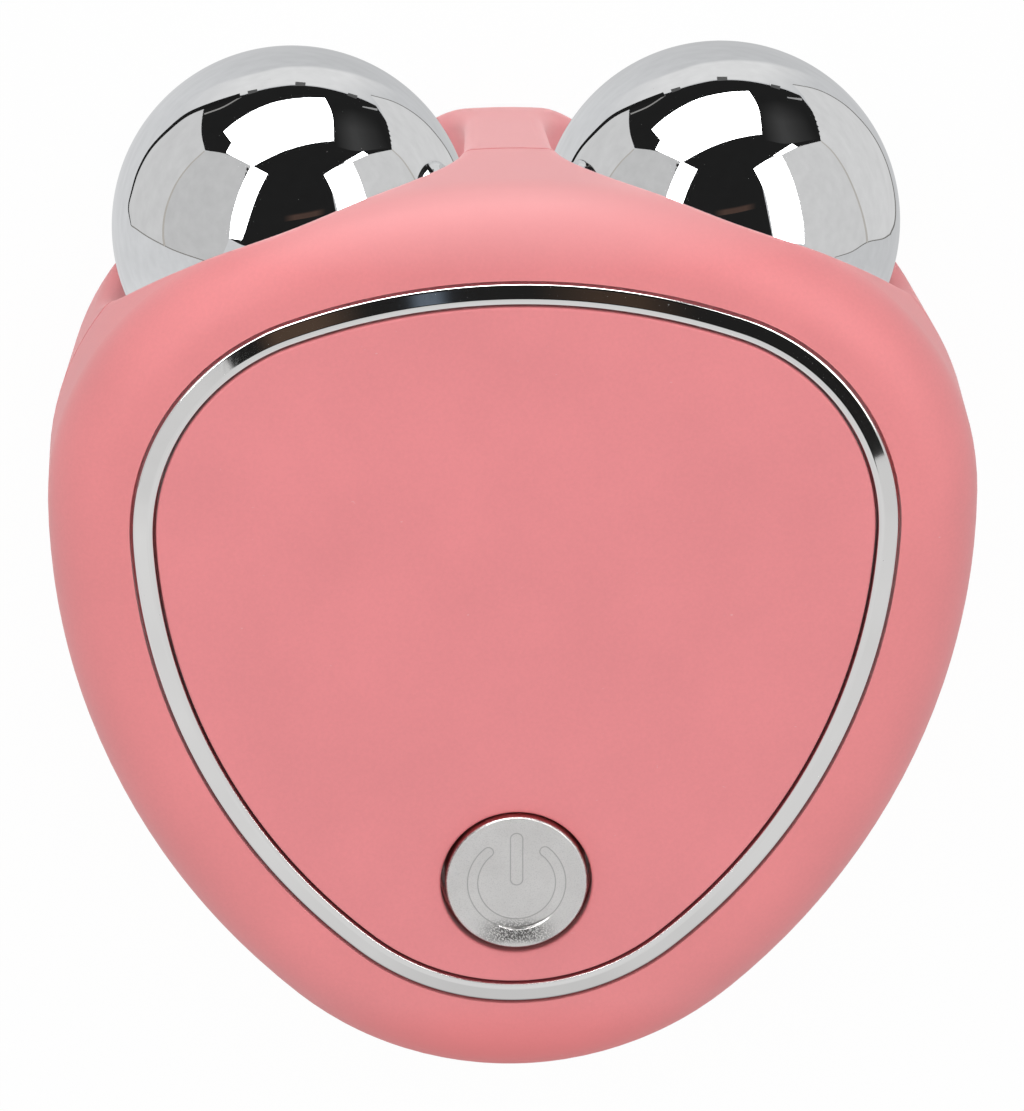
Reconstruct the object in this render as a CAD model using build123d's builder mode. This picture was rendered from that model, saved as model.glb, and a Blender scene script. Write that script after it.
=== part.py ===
from build123d import *
from math import atan2, cos, degrees, hypot, radians, sin, sqrt
import os

# A palm-sized facial toning device lying on its back, in millimetres. +Z is the
# normal of its face, +Y points from the narrow tip to the two roller balls.
# The origin is under the middle of the whole device, on the surface it rests on.

os.makedirs("parts", exist_ok=True)

# ---------------------------------------------------------------- housing outline
body_length = 61.3          # tip of the body to its edge between the balls
ball_reach = 4.7            # balls beyond that edge
body_width = 60.0
top_radius = 40.0           # the four tangent arcs of the body's plan
shoulder_radius = 17.8
side_radius = 45.5
tip_radius = 21.9

# ---------------------------------------------------------------- housing section
face_height = 30.0          # resting surface to the flat of the face
parting_depth = 11.0        # parting line below the face
face_edge_radius = 4.5
back_edge_radius = 9.0
back_draft = 5.0            # degrees, the rear casing narrows towards the back
wall = 1.8
seam_width = 0.2
seam_depth = 0.15
lip_height = 1.0            # tongue of the rear casing inside the front casing
lip_thickness = 0.85
lip_clearance = 0.1

# ---------------------------------------------------------------- roller balls
ball_diameter = 23.5
ball_wall = 1.5
ball_spacing = 28.0         # centre to centre
ball_height = 13.3          # centre above the resting surface
scoop_clearance = 0.7
scoop_corner_radius = 5.0   # rounding where a scoop's bore meets its wall at the bridge
scoop_rim_radius = 1.0      # rounding of the housing's edge round each scoop
scoop_wall = 1.5
bridge_width = 4.0          # solid web between the two scoops
roller_lean = 25.0          # degrees between each shaft and +Y

# ---------------------------------------------------------------- shaft cartridge
shaft_diameter = 3.0
running_clearance = 0.05
bush_diameter = 5.2
bush_recess = 0.25          # bush face below the ball's pole
bush_length = 10.3
hub_diameter = 8.6
end_play = 0.1
clip_thickness = 0.5
clip_diameter = 5.0
clip_groove_depth = 0.35
clip_mouth = 1.8
shaft_tail = 1.1            # shaft past the clip
washer_thickness = 0.4
collar_diameter = 4.8
collar_thickness = 0.7
thread_length = 4.0         # shaft behind the carrier
nut_width = 5.0             # across the flats
nut_thickness = 2.2
tab_thickness = 0.4
tab_diameter = 5.4
tab_tail_width = 2.0
tab_tail_length = 4.5       # shaft's centre to the end of the tail

# ---------------------------------------------------------------- roller carrier
carrier_nose_diameter = 5.0
carrier_boss_diameter = 8.8
carrier_boss_length = 5.6
carrier_gap = 0.25          # carrier to the back of a scoop's wall
carrier_web_depth = 3.0
carrier_web_height = 6.0
carrier_ear_spacing = 26.0
carrier_ear_setback = 3.8   # ears behind the scoops' walls
carrier_ear_diameter = 4.8
carrier_ear_thickness = 2.0
carrier_post_height = 9.0   # seat of the ears above the resting surface
carrier_post_diameter = 4.6

# ---------------------------------------------------------------- face
ring_top_band = 5.5         # casing's face between its edge and the trim ring
ring_side_band = 5.45
ring_tip_band = 6.15
ring_top_radius = 43.2
ring_shoulder_radius = 15.0
ring_side_radius = 39.7
ring_tip_radius = 16.0
ring_width = 1.3
ring_gap = 0.2              # shadow line on each side of the ring
ring_slope_width = 1.05
panel_rise = 0.27           # panel above the casing's face
recess_depth = 1.5
recess_floor = 1.2

# ---------------------------------------------------------------- power button
button_from_tip = 15.05
button_hole_diameter = 9.9
button_clearance = 0.18
button_rise = 0.55          # cap above the panel
button_edge = 0.28
button_crown = 1.4
button_flange_width = 1.0
button_flange_thickness = 0.8
button_flange_gap = 0.08
button_travel = 0.3
button_nub_diameter = 3.0
nub_gap = 0.05

# ---------------------------------------------------------------- circuit board
board_thickness = 1.6
board_edge_gap = 0.6
board_depth = 12.0          # underside of the board below the face
board_end_gap = 0.7         # board's straight end behind the ends of the shafts
switch_width = 6.0
switch_height = 3.4
switch_chamfer = 0.5
plunger_diameter = 3.5
plunger_clearance = 0.06
plunger_chamfer = 0.25
plunger_height = 1.0        # plunger above the switch's body
plunger_depth = 1.0         # plunger inside the switch's body
component_gap = 1.0         # board's straight end to the chip, coil and capacitor
chip_size = 5.0
chip_thickness = 1.0
chip_chamfer = 0.12
coil_size = 5.2
coil_height = 3.0
coil_corner = 0.65
coil_window_diameter = 4.4
coil_core_diameter = 3.1
coil_window_depth = 0.75
coil_offset = 9.0           # coil and capacitor beside the middle of the board
capacitor_diameter = 4.0
capacitor_height = 4.2
capacitor_offset = 8.5
chip_pack_length = 1.6      # small resistors and capacitors
chip_pack_width = 0.8
chip_pack_height = 0.6
chip_pack_pitch = 2.0
chip_pack_rows = 4
chip_pack_offset = 6.5

# ---------------------------------------------------------------- charging socket
socket_width = 8.94
socket_height = 3.26
socket_wall = 0.3
socket_length = 7.3
socket_inset = 1.1          # socket's mouth behind the tip of the body
socket_slot_clearance = 0.28
tongue_width = 6.7
tongue_thickness = 0.7
tongue_length = 5.8

# ---------------------------------------------------------------- battery
battery_length = 24.0
battery_width = 16.0
battery_thickness = 7.0
battery_corner = 1.5
battery_from_tip = 8.2
battery_pad_thickness = 0.8
battery_pad_inset = 3.0     # pad inside the cell's edges
battery_rib_height = 3.5
battery_rib_thickness = 1.0
battery_rib_gap = 0.3
connector_width = 6.0
connector_depth = 4.5
connector_height = 4.0
connector_wall = 0.9
connector_from_cell_end = 6.5   # middle of the connector from the cell's lead end
lead_diameter = 1.0
lead_pitch = 1.2

# ---------------------------------------------------------------- fasteners
post_upper_spacing = 38.0
post_upper_setback = 18.2   # upper posts behind the middle of the balls
post_lower_spacing = 31.0
post_lower_from_tip = 21.0
post_diameter = 4.8
post_shoulder_diameter = 6.4
screw_core_diameter = 1.9
screw_bore_clearance = 0.05
screw_bore_spare = 0.3      # bore past the end of its screw
screw_head_diameter = 3.6
screw_head_height = 1.3
screw_head_edge = 0.4
screw_head_drop = 0.3       # heads below the floor of the recess
screw_length = 7.0
screw_seat_thickness = 1.4
screw_cross_span = 2.2
screw_cross_width = 0.6
screw_cross_depth = 0.6

# ---------------------------------------------------------------- places that follow
overall_length = body_length + ball_reach
tip_y = -overall_length / 2
body_top_y = tip_y + body_length
half_width = body_width / 2
parting_height = face_height - parting_depth
ball_radius = ball_diameter / 2
ball_y = overall_length / 2 - ball_radius
scoop_radius = ball_radius + scoop_clearance
scoop_outer_radius = scoop_radius + scoop_wall
recess_height = face_height - recess_depth
ceiling_height = recess_height - recess_floor
panel_height = face_height + panel_rise
button_y = tip_y + button_from_tip
board_seat_height = face_height - board_depth
board_top = board_seat_height + board_thickness
lead_radius = lead_diameter / 2
upper_x = post_upper_spacing / 2
upper_y = ball_y - post_upper_setback
lower_x = post_lower_spacing / 2
lower_y = tip_y + post_lower_from_tip
post_places = [(-upper_x, upper_y), (upper_x, upper_y), (-lower_x, lower_y), (lower_x, lower_y)]
ear_x = carrier_ear_spacing / 2
ear_y = ball_y - scoop_outer_radius - carrier_ear_setback
ear_places = [(-ear_x, ear_y), (ear_x, ear_y)]
head_seat_height = recess_height - screw_head_height - screw_head_drop
post_top = head_seat_height - screw_seat_thickness
screw_bore_radius = screw_core_diameter / 2 + screw_bore_clearance


def direction(centre, other):
    """Angle in degrees of the line from one arc centre to another."""
    return degrees(atan2(other[1] - centre[1], other[0] - centre[0]))


def rounded_triangle(top_y, low_y, half, top_r, shoulder_r, side_r, tip_r):
    """Closed plan of tangent arcs: a flat top, two shoulders, two long sides and a tip.

    Every arc touches the next from inside, so the distance between two neighbouring
    centres is the difference of their radii.
    """
    top = (0.0, top_y - top_r)
    shoulder_x = half - shoulder_r
    shoulder = (shoulder_x, top[1] + sqrt((top_r - shoulder_r) ** 2 - shoulder_x**2))
    tip = (0.0, low_y + tip_r)
    to_shoulder = side_r - shoulder_r
    to_tip = side_r - tip_r
    gap = hypot(shoulder[0] - tip[0], shoulder[1] - tip[1])
    along = (to_shoulder**2 - to_tip**2 + gap**2) / (2 * gap)
    across = sqrt(to_shoulder**2 - along**2)
    unit = ((tip[0] - shoulder[0]) / gap, (tip[1] - shoulder[1]) / gap)
    side = (
        shoulder[0] + along * unit[0] + across * unit[1],
        shoulder[1] + along * unit[1] - across * unit[0],
    )
    top_end = direction(top, shoulder)
    shoulder_end = direction(side, shoulder)
    side_end = direction(side, tip)
    with BuildSketch() as plan:
        with BuildLine():
            CenterArc(top, top_r, top_end, 90 - top_end)
            CenterArc(shoulder, shoulder_r, shoulder_end, top_end - shoulder_end)
            CenterArc(side, side_r, side_end, shoulder_end - side_end)
            CenterArc(tip, tip_r, -90, side_end + 90)
            mirror(about=Plane.YZ)
        make_face()
    return plan.sketch


body_plan = rounded_triangle(
    body_top_y, tip_y, half_width, top_radius, shoulder_radius, side_radius, tip_radius
)
ring_plan = rounded_triangle(
    body_top_y - ring_top_band,
    tip_y + ring_tip_band,
    half_width - ring_side_band,
    ring_top_radius,
    ring_shoulder_radius,
    ring_side_radius,
    ring_tip_radius,
)


def plan_ring(outer_inset, inner_inset):
    """Band of the body's plan between two distances inside its edge."""
    with BuildSketch() as band:
        add(offset(body_plan, -outer_inset, mode=Mode.PRIVATE) if outer_inset else body_plan)
        offset(body_plan, -inner_inset, mode=Mode.SUBTRACT)
    return band.sketch


def housing_form(inset, top_height):
    """The housing's outer form, or the hollow that lies one wall inside it."""
    with BuildSketch() as plan:
        add(offset(body_plan, -inset, mode=Mode.PRIVATE) if inset else body_plan)
    with BuildPart() as form:
        with BuildSketch(Plane.XY.offset(parting_height)):
            add(plan.sketch)
        extrude(amount=top_height - parting_height)
        fillet(form.edges().group_by(Axis.Z)[-1], face_edge_radius - inset)
        with BuildSketch(Plane.XY.offset(parting_height)):
            add(plan.sketch)
        extrude(amount=inset - parting_height, taper=back_draft)
        fillet(form.edges().group_by(Axis.Z)[0], back_edge_radius - inset)
    return form.part


def roller_section(sign):
    """Plane through a roller's axis: local X runs outward along the shaft, local Y is up."""
    along = Vector(sign * sin(radians(roller_lean)), cos(radians(roller_lean)), 0)
    centre = (sign * ball_spacing / 2, ball_y, ball_height)
    return Plane(origin=centre, x_dir=along, z_dir=along.cross(Vector(0, 0, 1)))


def scoop_form(radius, sign):
    """A scoop: half a sphere round its ball, carried on as a bore towards +Y.

    At the bridge the bore ends in an upright wall along the shaft, as far from the ball's
    centre as the sphere, so the bridge widens towards its end. Their corner is rounded.
    """
    reach = ball_radius + ball_reach
    inner = -sign * radius
    section = roller_section(sign)
    outward = sign * section.z_dir
    with BuildPart() as scoop:
        with BuildSketch(Plane(origin=section.origin)):
            with BuildLine():
                Polyline((0, -radius), (0, reach), (inner, reach), (inner, 0))
                CenterArc((0, 0), radius, 90 + 90 * sign, 90 * sign)
            make_face()
        revolve(axis=Axis(section.origin, (0, 1, 0)))
        split(bisect_by=Plane(origin=section.origin - radius * outward, z_dir=outward))
        corner = scoop.edges().filter_by(GeomType.ELLIPSE)
        fillet(corner, scoop_corner_radius + radius - scoop_radius)
    return scoop.part


closed_form = housing_form(0, face_height)
right_scoop = scoop_form(scoop_radius, 1)


def is_rim(edge):
    """Whether an edge is where the wall of the right scoop meets the outside."""
    middle = Vertex(edge @ 0.5)
    return all(
        form.shell().distance_to(middle) < seam_depth / 100
        for form in (closed_form, right_scoop)
    )


# the closed outside of the housing: one half, with the edge of its scoop rounded, mirrored
with BuildPart() as outside:
    add(closed_form)
    add(right_scoop, mode=Mode.SUBTRACT)
    fillet(outside.edges().filter_by(is_rim), scoop_rim_radius)
    split(bisect_by=Plane.YZ)
    mirror(about=Plane.YZ)

# the hollow inside, which leaves a wall round each scoop and a solid web between them
with BuildPart() as hollow:
    add(housing_form(wall, ceiling_height))
    add([scoop_form(scoop_outer_radius, sign) for sign in (-1, 1)], mode=Mode.SUBTRACT)
    bridge_start = ball_y - scoop_radius
    with BuildSketch(Plane.XY):
        with Locations((0, (bridge_start + body_top_y) / 2)):
            Rectangle(bridge_width, body_top_y - bridge_start)
    extrude(amount=ceiling_height, mode=Mode.SUBTRACT)

# ---------------------------------------------------------------- front casing
recess_plan = offset(ring_plan, ring_gap, mode=Mode.PRIVATE)
button_radius = button_hole_diameter / 2 - button_clearance

with BuildPart() as front_shell:
    add(outside.part)
    add(hollow.part, mode=Mode.SUBTRACT)
    with BuildSketch(Plane.XY.offset(ceiling_height)):
        with Locations(*post_places):
            Circle(post_shoulder_diameter / 2)
    extrude(amount=post_top - ceiling_height)
    split(bisect_by=Plane.XY.offset(parting_height), keep=Keep.TOP)
    with BuildSketch(Plane.XY.offset(recess_height)):
        add(recess_plan)
    extrude(amount=recess_depth, mode=Mode.SUBTRACT)
    with BuildSketch(Plane.XY.offset(recess_height)):
        with Locations((0, button_y)):
            Circle(button_hole_diameter / 2)
    extrude(amount=-recess_depth, mode=Mode.SUBTRACT)
    with Locations(*[(x, y, recess_height) for x, y in post_places]):
        CounterBoreHole(
            screw_bore_radius,
            screw_head_diameter / 2 + lip_clearance,
            recess_height - head_seat_height,
            recess_height - post_top,
        )
    with BuildSketch(Plane.XY.offset(parting_height)):
        add(plan_ring(wall - lip_thickness - lip_clearance, wall + lip_clearance))
    extrude(amount=lip_height + lip_clearance, mode=Mode.SUBTRACT)
    with BuildSketch(Plane.XY.offset(parting_height)):
        add(plan_ring(0, seam_depth))
    extrude(amount=seam_width, mode=Mode.SUBTRACT)
front_shell.part.label = "front_shell"
export_step(front_shell.part, "parts/front_shell.step")

# ---------------------------------------------------------------- rear casing
# posts, battery ribs and the lip along the parting line, trimmed to the outside
with BuildPart() as rear_features:
    with BuildSketch(Plane.XY):
        with Locations(*post_places):
            Circle(post_shoulder_diameter / 2)
    extrude(amount=board_seat_height)
    with BuildSketch(Plane.XY):
        with Locations(*post_places):
            Circle(post_diameter / 2)
    extrude(amount=post_top)
    with BuildSketch(Plane.XY):
        with Locations(*ear_places):
            Circle(carrier_post_diameter / 2)
    extrude(amount=carrier_post_height)
    battery_middle = (0, tip_y + battery_from_tip + battery_length / 2)
    with BuildSketch(Plane.XY):
        with Locations(battery_middle):
            rib_reach = 2 * (battery_rib_gap + battery_rib_thickness)
            Rectangle(battery_width + rib_reach, battery_length + rib_reach)
            Rectangle(
                battery_width + 2 * battery_rib_gap,
                battery_length + 2 * battery_rib_gap,
                mode=Mode.SUBTRACT,
            )
    extrude(amount=wall + battery_rib_height)
    with BuildSketch(Plane.XY.offset(parting_height)):
        add(plan_ring(wall - lip_thickness, wall))
    extrude(amount=lip_height)
    add(outside.part, mode=Mode.INTERSECT)

socket_plane = Plane(
    origin=(0, tip_y + socket_inset, board_seat_height - socket_height / 2),
    x_dir=(1, 0, 0),
    z_dir=(0, 1, 0),
)
carrier_bore = carrier_nose_diameter + 2 * lip_clearance


def roller_end(sign, distance):
    """Plane square to a roller's shaft, at a distance outward from the ball's centre.

    Its local Y runs down.
    """
    section = roller_section(sign)
    return Plane(
        origin=section.origin + section.x_dir * distance,
        x_dir=section.z_dir,
        z_dir=section.x_dir,
    )


bush_face = -ball_radius + bush_recess
collar_face = bush_face - 2 * running_clearance - washer_thickness
nose_face = collar_face - collar_thickness
boss_face = -scoop_outer_radius - carrier_gap
boss_back = boss_face - carrier_boss_length
thread_end = boss_back - thread_length
board_end_y = roller_end(1, thread_end).origin.Y - shaft_diameter / 2 - board_end_gap

with BuildPart() as rear_shell:
    add(outside.part)
    add(hollow.part, mode=Mode.SUBTRACT)
    split(bisect_by=Plane.XY.offset(parting_height), keep=Keep.BOTTOM)
    add(rear_features.part)
    with Locations(*[(x, y, post_top) for x, y in post_places]):
        Hole(screw_bore_radius, screw_length - screw_seat_thickness + screw_bore_spare)
    with Locations(*[(x, y, carrier_post_height) for x, y in ear_places]):
        Hole(screw_bore_radius, screw_length - carrier_ear_thickness + screw_bore_spare)
    for sign in (-1, 1):
        with BuildSketch(roller_end(sign, boss_face)):
            Circle(carrier_bore / 2)
        extrude(amount=scoop_wall + scoop_clearance + carrier_gap, mode=Mode.SUBTRACT)
    with BuildSketch(socket_plane.offset(-socket_inset - wall)):
        slot_width = socket_width + 2 * socket_slot_clearance
        slot_height = socket_height + 2 * socket_slot_clearance
        SlotOverall(slot_width, slot_height)
    extrude(amount=3 * wall, mode=Mode.SUBTRACT)
rear_shell.part.label = "rear_shell"
export_step(rear_shell.part, "parts/rear_shell.step")

# ---------------------------------------------------------------- trim ring and panel
panel_plan = offset(ring_plan, -ring_width - ring_gap, mode=Mode.PRIVATE)

with BuildPart() as trim_ring:
    with BuildSketch(Plane.XY.offset(recess_height)):
        add(ring_plan)
    extrude(amount=panel_height - recess_height)
    ring_top = trim_ring.faces().sort_by(Axis.Z)[-1]
    chamfer(ring_top.edges(), ring_slope_width, panel_rise, reference=ring_top)
    with BuildSketch(Plane.XY.offset(recess_height)):
        offset(ring_plan, -ring_width)
    extrude(amount=panel_height - recess_height, mode=Mode.SUBTRACT)
trim_ring.part.label = "trim_ring"
export_step(trim_ring.part, "parts/trim_ring.step")

with BuildPart() as front_panel:
    with BuildSketch(Plane.XY.offset(recess_height)):
        add(panel_plan)
        with Locations((0, button_y)):
            Circle(button_hole_diameter / 2, mode=Mode.SUBTRACT)
    extrude(amount=panel_height - recess_height)
front_panel.part.label = "front_panel"
export_step(front_panel.part, "parts/front_panel.step")

# ---------------------------------------------------------------- power button
cap_top = panel_height + button_rise
flange_top = ceiling_height - button_flange_gap
flange_low = flange_top - button_flange_thickness
plunger_top = board_top + switch_height + plunger_height
plunger_radius = plunger_diameter / 2

with BuildPart() as power_button:
    with BuildSketch(Plane.XY.offset(flange_low)):
        with Locations((0, button_y)):
            Circle(button_radius)
    extrude(amount=cap_top - flange_low)
    chamfer(power_button.edges().group_by(Axis.Z)[-1], button_edge)
    with BuildSketch(Plane.XY.offset(flange_low)):
        with Locations((0, button_y)):
            Circle(button_hole_diameter / 2 + button_flange_width)
    extrude(amount=button_flange_thickness)
    with BuildSketch(Plane.XY.offset(flange_low)):
        with Locations((0, button_y)):
            Circle(button_radius - button_crown)
    extrude(amount=cap_top - button_crown - flange_low, mode=Mode.SUBTRACT)
    with BuildSketch(Plane.XY.offset(plunger_top + nub_gap)):
        with Locations((0, button_y)):
            Circle(button_nub_diameter / 2)
    extrude(amount=cap_top - button_crown - plunger_top - nub_gap)
power_button.part.label = "power_button"
export_step(power_button.part, "parts/power_button.step")

# ---------------------------------------------------------------- circuit board
with BuildPart() as main_board:
    with BuildSketch(Plane.XY.offset(board_seat_height)):
        offset(body_plan, -wall - board_edge_gap)
        board_cut = body_top_y - board_end_y
        with Locations((0, board_end_y + board_cut / 2)):
            Rectangle(body_width, board_cut, mode=Mode.SUBTRACT)
        with Locations(*post_places):
            Circle(post_diameter / 2 + lip_clearance, mode=Mode.SUBTRACT)
    extrude(amount=board_thickness)
main_board.part.label = "main_board"
export_step(main_board.part, "parts/main_board.step")

with BuildPart() as switch_body:
    with BuildSketch(Plane.XY.offset(board_top)):
        with Locations((0, button_y)):
            Rectangle(switch_width, switch_width)
    extrude(amount=switch_height)
    chamfer(switch_body.edges().filter_by(Axis.Z), switch_chamfer)
    with Locations((0, button_y, board_top + switch_height)):
        Hole(plunger_radius + plunger_clearance, plunger_depth + button_travel + nub_gap)
switch_body.part.label = "switch_body"
export_step(switch_body.part, "parts/switch_body.step")

with BuildPart() as switch_plunger:
    with BuildSketch(Plane.XY.offset(board_top + switch_height - plunger_depth)):
        with Locations((0, button_y)):
            Circle(plunger_radius)
    extrude(amount=plunger_depth + plunger_height)
    chamfer(switch_plunger.edges().group_by(Axis.Z)[-1], plunger_chamfer)
switch_plunger.part.label = "switch_plunger"
export_step(switch_plunger.part, "parts/switch_plunger.step")

# parts on the board's upper side, between the switch and the balls
component_line = board_end_y - component_gap
chip_place = (0, component_line - chip_size / 2)
coil_place = (-coil_offset, component_line - coil_size / 2)
capacitor_place = (capacitor_offset, component_line - capacitor_diameter / 2)

with BuildPart() as controller_chip:
    with BuildSketch(Plane.XY.offset(board_top)):
        with Locations(chip_place):
            Rectangle(chip_size, chip_size)
    extrude(amount=chip_thickness)
    chamfer(controller_chip.edges().group_by(Axis.Z)[-1], chip_chamfer)
controller_chip.part.label = "controller_chip"
export_step(controller_chip.part, "parts/controller_chip.step")

with BuildPart() as boost_coil:
    with BuildSketch(Plane.XY.offset(board_top)):
        with Locations(coil_place):
            RectangleRounded(coil_size, coil_size, coil_corner)
    extrude(amount=coil_height)
    with BuildSketch(Plane.XY.offset(board_top + coil_height)):
        with Locations(coil_place):
            Circle(coil_window_diameter / 2)
            Circle(coil_core_diameter / 2, mode=Mode.SUBTRACT)
    extrude(amount=-coil_window_depth, mode=Mode.SUBTRACT)
boost_coil.part.label = "boost_coil"
export_step(boost_coil.part, "parts/boost_coil.step")

with BuildPart() as board_parts:
    with BuildSketch(Plane.XY.offset(board_top)):
        with Locations(capacitor_place):
            Circle(capacitor_diameter / 2)
    extrude(amount=capacitor_height)
    with BuildSketch(Plane.XY.offset(board_top)):
        with Locations((0, button_y)):
            with GridLocations(2 * chip_pack_offset, chip_pack_pitch, 2, chip_pack_rows):
                Rectangle(chip_pack_length, chip_pack_width)
    extrude(amount=chip_pack_height)
board_parts.part.label = "board_parts"
export_step(board_parts.part, "parts/board_parts.step")

# ---------------------------------------------------------------- charging socket
with BuildPart() as usb_socket:
    with BuildSketch(socket_plane):
        SlotOverall(socket_width, socket_height)
        offset(amount=-socket_wall, mode=Mode.SUBTRACT)
    extrude(amount=socket_length)
    with BuildSketch(socket_plane.offset(socket_length - socket_wall)):
        SlotOverall(socket_width, socket_height)
    extrude(amount=socket_wall)
usb_socket.part.label = "usb_socket"
export_step(usb_socket.part, "parts/usb_socket.step")

with BuildPart() as usb_tongue:
    with BuildSketch(socket_plane.offset(socket_length - socket_wall)):
        Rectangle(tongue_width, tongue_thickness)
    extrude(amount=-tongue_length)
    fillet(usb_tongue.edges().filter_by(Axis.Z).group_by(Axis.Y)[0], tongue_thickness)
usb_tongue.part.label = "usb_tongue"
export_step(usb_tongue.part, "parts/usb_tongue.step")

# ---------------------------------------------------------------- battery
battery_low = wall + battery_pad_thickness
with BuildPart() as battery_pad:
    with BuildSketch(Plane.XY.offset(wall)):
        with Locations(battery_middle):
            pad_width = battery_width - 2 * battery_pad_inset
            pad_length = battery_length - 2 * battery_pad_inset
            Rectangle(pad_width, pad_length)
    extrude(amount=battery_pad_thickness)
battery_pad.part.label = "battery_pad"
export_step(battery_pad.part, "parts/battery_pad.step")

with BuildPart() as battery_cell:
    with BuildSketch(Plane.XY.offset(battery_low)):
        with Locations(battery_middle):
            Rectangle(battery_width, battery_length)
    extrude(amount=battery_thickness)
    fillet(battery_cell.edges().filter_by(Axis.Y), battery_corner)
battery_cell.part.label = "battery_cell"
export_step(battery_cell.part, "parts/battery_cell.step")

lead_end_y = tip_y + battery_from_tip
connector_place = (0, lead_end_y + connector_from_cell_end)
connector_low = board_seat_height - connector_height
connector_roof = connector_low + connector_height / 2
with BuildPart() as battery_connector:
    with BuildSketch(Plane.XY.offset(board_seat_height)):
        with Locations(connector_place):
            Rectangle(connector_width, connector_depth)
    extrude(amount=-connector_height)
    with BuildSketch(Plane.XY.offset(connector_low)):
        with Locations(connector_place):
            pocket_width = connector_width - 2 * connector_wall
            pocket_depth = connector_depth - 2 * connector_wall
            Rectangle(pocket_width, pocket_depth)
    extrude(amount=connector_roof - connector_low, mode=Mode.SUBTRACT)
battery_connector.part.label = "battery_connector"
export_step(battery_connector.part, "parts/battery_connector.step")


def lead_along(points):
    """Round insulated lead through the points, with an arc at each corner."""
    runs = [(Vector(*b) - Vector(*a)).length for a, b in zip(points, points[1:])]
    bends = []
    for start, corner, end, before, after in zip(points, points[1:], points[2:], runs, runs[1:]):
        turn = (Vector(*corner) - Vector(*start)).get_angle(Vector(*end) - Vector(*corner))
        bends.append(0.45 * min(before, after) / tan_half(turn))
    with BuildPart() as lead:
        with BuildLine() as route:
            FilletPolyline(*points, radius=bends)
        with BuildSketch(Plane(origin=route.line @ 0, z_dir=route.line % 0)):
            Circle(lead_radius)
        sweep(path=route.line)
    return lead.part


def tan_half(turn):
    """Tangent of half a turn in degrees."""
    return sin(radians(turn)) / (1 + cos(radians(turn)))


# the leads leave the cell's end at the tip, turn back over it and rise into the connector
lead_start_height = battery_low + battery_thickness / 2
lead_over_height = (battery_low + battery_thickness + connector_low) / 2
with BuildPart() as battery_leads:
    for lead_x in (-lead_pitch / 2, lead_pitch / 2):
        add(
            lead_along(
                [
                    (lead_x, lead_end_y, lead_start_height),
                    (lead_x, lead_end_y - 2.2, lead_start_height),
                    (lead_x, lead_end_y - 2.6, lead_over_height - 1.2),
                    (lead_x, lead_end_y + 1.4, lead_over_height),
                    (lead_x, connector_place[1], lead_over_height),
                    (lead_x, connector_place[1], connector_roof),
                ]
            )
        )
battery_leads.part.label = "battery_leads"
export_step(battery_leads.part, "parts/battery_leads.step")

# ---------------------------------------------------------------- roller carrier
ear_top = carrier_post_height + carrier_ear_thickness
web_back_y = ball_y + boss_back * cos(radians(roller_lean)) + carrier_web_depth / 2
with BuildPart() as roller_carrier:
    for sign in (-1, 1):
        with BuildSketch(roller_end(sign, boss_face)):
            Circle(carrier_boss_diameter / 2)
        extrude(amount=-carrier_boss_length)
        with BuildSketch(roller_end(sign, boss_face)):
            Circle(carrier_nose_diameter / 2)
        extrude(amount=nose_face - boss_face)
        boss_middle = roller_end(sign, boss_face - carrier_boss_length / 2).origin
        with BuildSketch(Plane.XY.offset(carrier_post_height)):
            with Locations((sign * ear_x, ear_y), (boss_middle.X, boss_middle.Y)):
                Circle(carrier_ear_diameter / 2)
            make_hull()
        extrude(amount=carrier_ear_thickness)
    with BuildSketch(Plane.XY.offset(ball_height - carrier_web_height / 2)):
        with Locations((0, web_back_y + carrier_web_depth / 2)):
            Rectangle(2 * boss_middle.X, carrier_web_depth)
    extrude(amount=carrier_web_height)
    for sign in (-1, 1):
        with BuildSketch(roller_end(sign, boss_back)):
            Circle(shaft_diameter / 2)
        extrude(amount=nose_face - boss_back, mode=Mode.SUBTRACT)
    with Locations(*[(x, y, ear_top) for x, y in ear_places]):
        Hole(screw_bore_radius)
roller_carrier.part.label = "roller_carrier"
export_step(roller_carrier.part, "parts/roller_carrier.step")


def pan_head_screws(places, seat_height):
    """Pan head screws with a cross recess, heads seated at the given height."""
    with BuildPart() as screws:
        with BuildSketch(Plane.XY.offset(seat_height)):
            with Locations(*places):
                Circle(screw_core_diameter / 2)
        extrude(amount=-screw_length)
        with BuildSketch(Plane.XY.offset(seat_height)):
            with Locations(*places):
                Circle(screw_head_diameter / 2)
        extrude(amount=screw_head_height)
        fillet(screws.edges().group_by(Axis.Z)[-1], screw_head_edge)
        with BuildSketch(Plane.XY.offset(seat_height + screw_head_height)):
            with Locations(*places):
                Rectangle(screw_cross_span, screw_cross_width)
                Rectangle(screw_cross_width, screw_cross_span)
        extrude(amount=-screw_cross_depth, mode=Mode.SUBTRACT)
    return screws.part


shell_screws = pan_head_screws(post_places, head_seat_height)
shell_screws.label = "shell_screws"
export_step(shell_screws, "parts/shell_screws.step")

carrier_screws = pan_head_screws(ear_places, ear_top)
carrier_screws.label = "carrier_screws"
export_step(carrier_screws, "parts/carrier_screws.step")

# ---------------------------------------------------------------- rollers
shaft_radius = shaft_diameter / 2
bush_radius = bush_diameter / 2
hub_radius = hub_diameter / 2
bush_back = bush_face + bush_length
inner_radius = ball_radius - ball_wall
clip_start = bush_back + end_play
shaft_end = clip_start + clip_thickness + shaft_tail
tab_face = boss_back
nut_face = boss_back - tab_thickness

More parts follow.
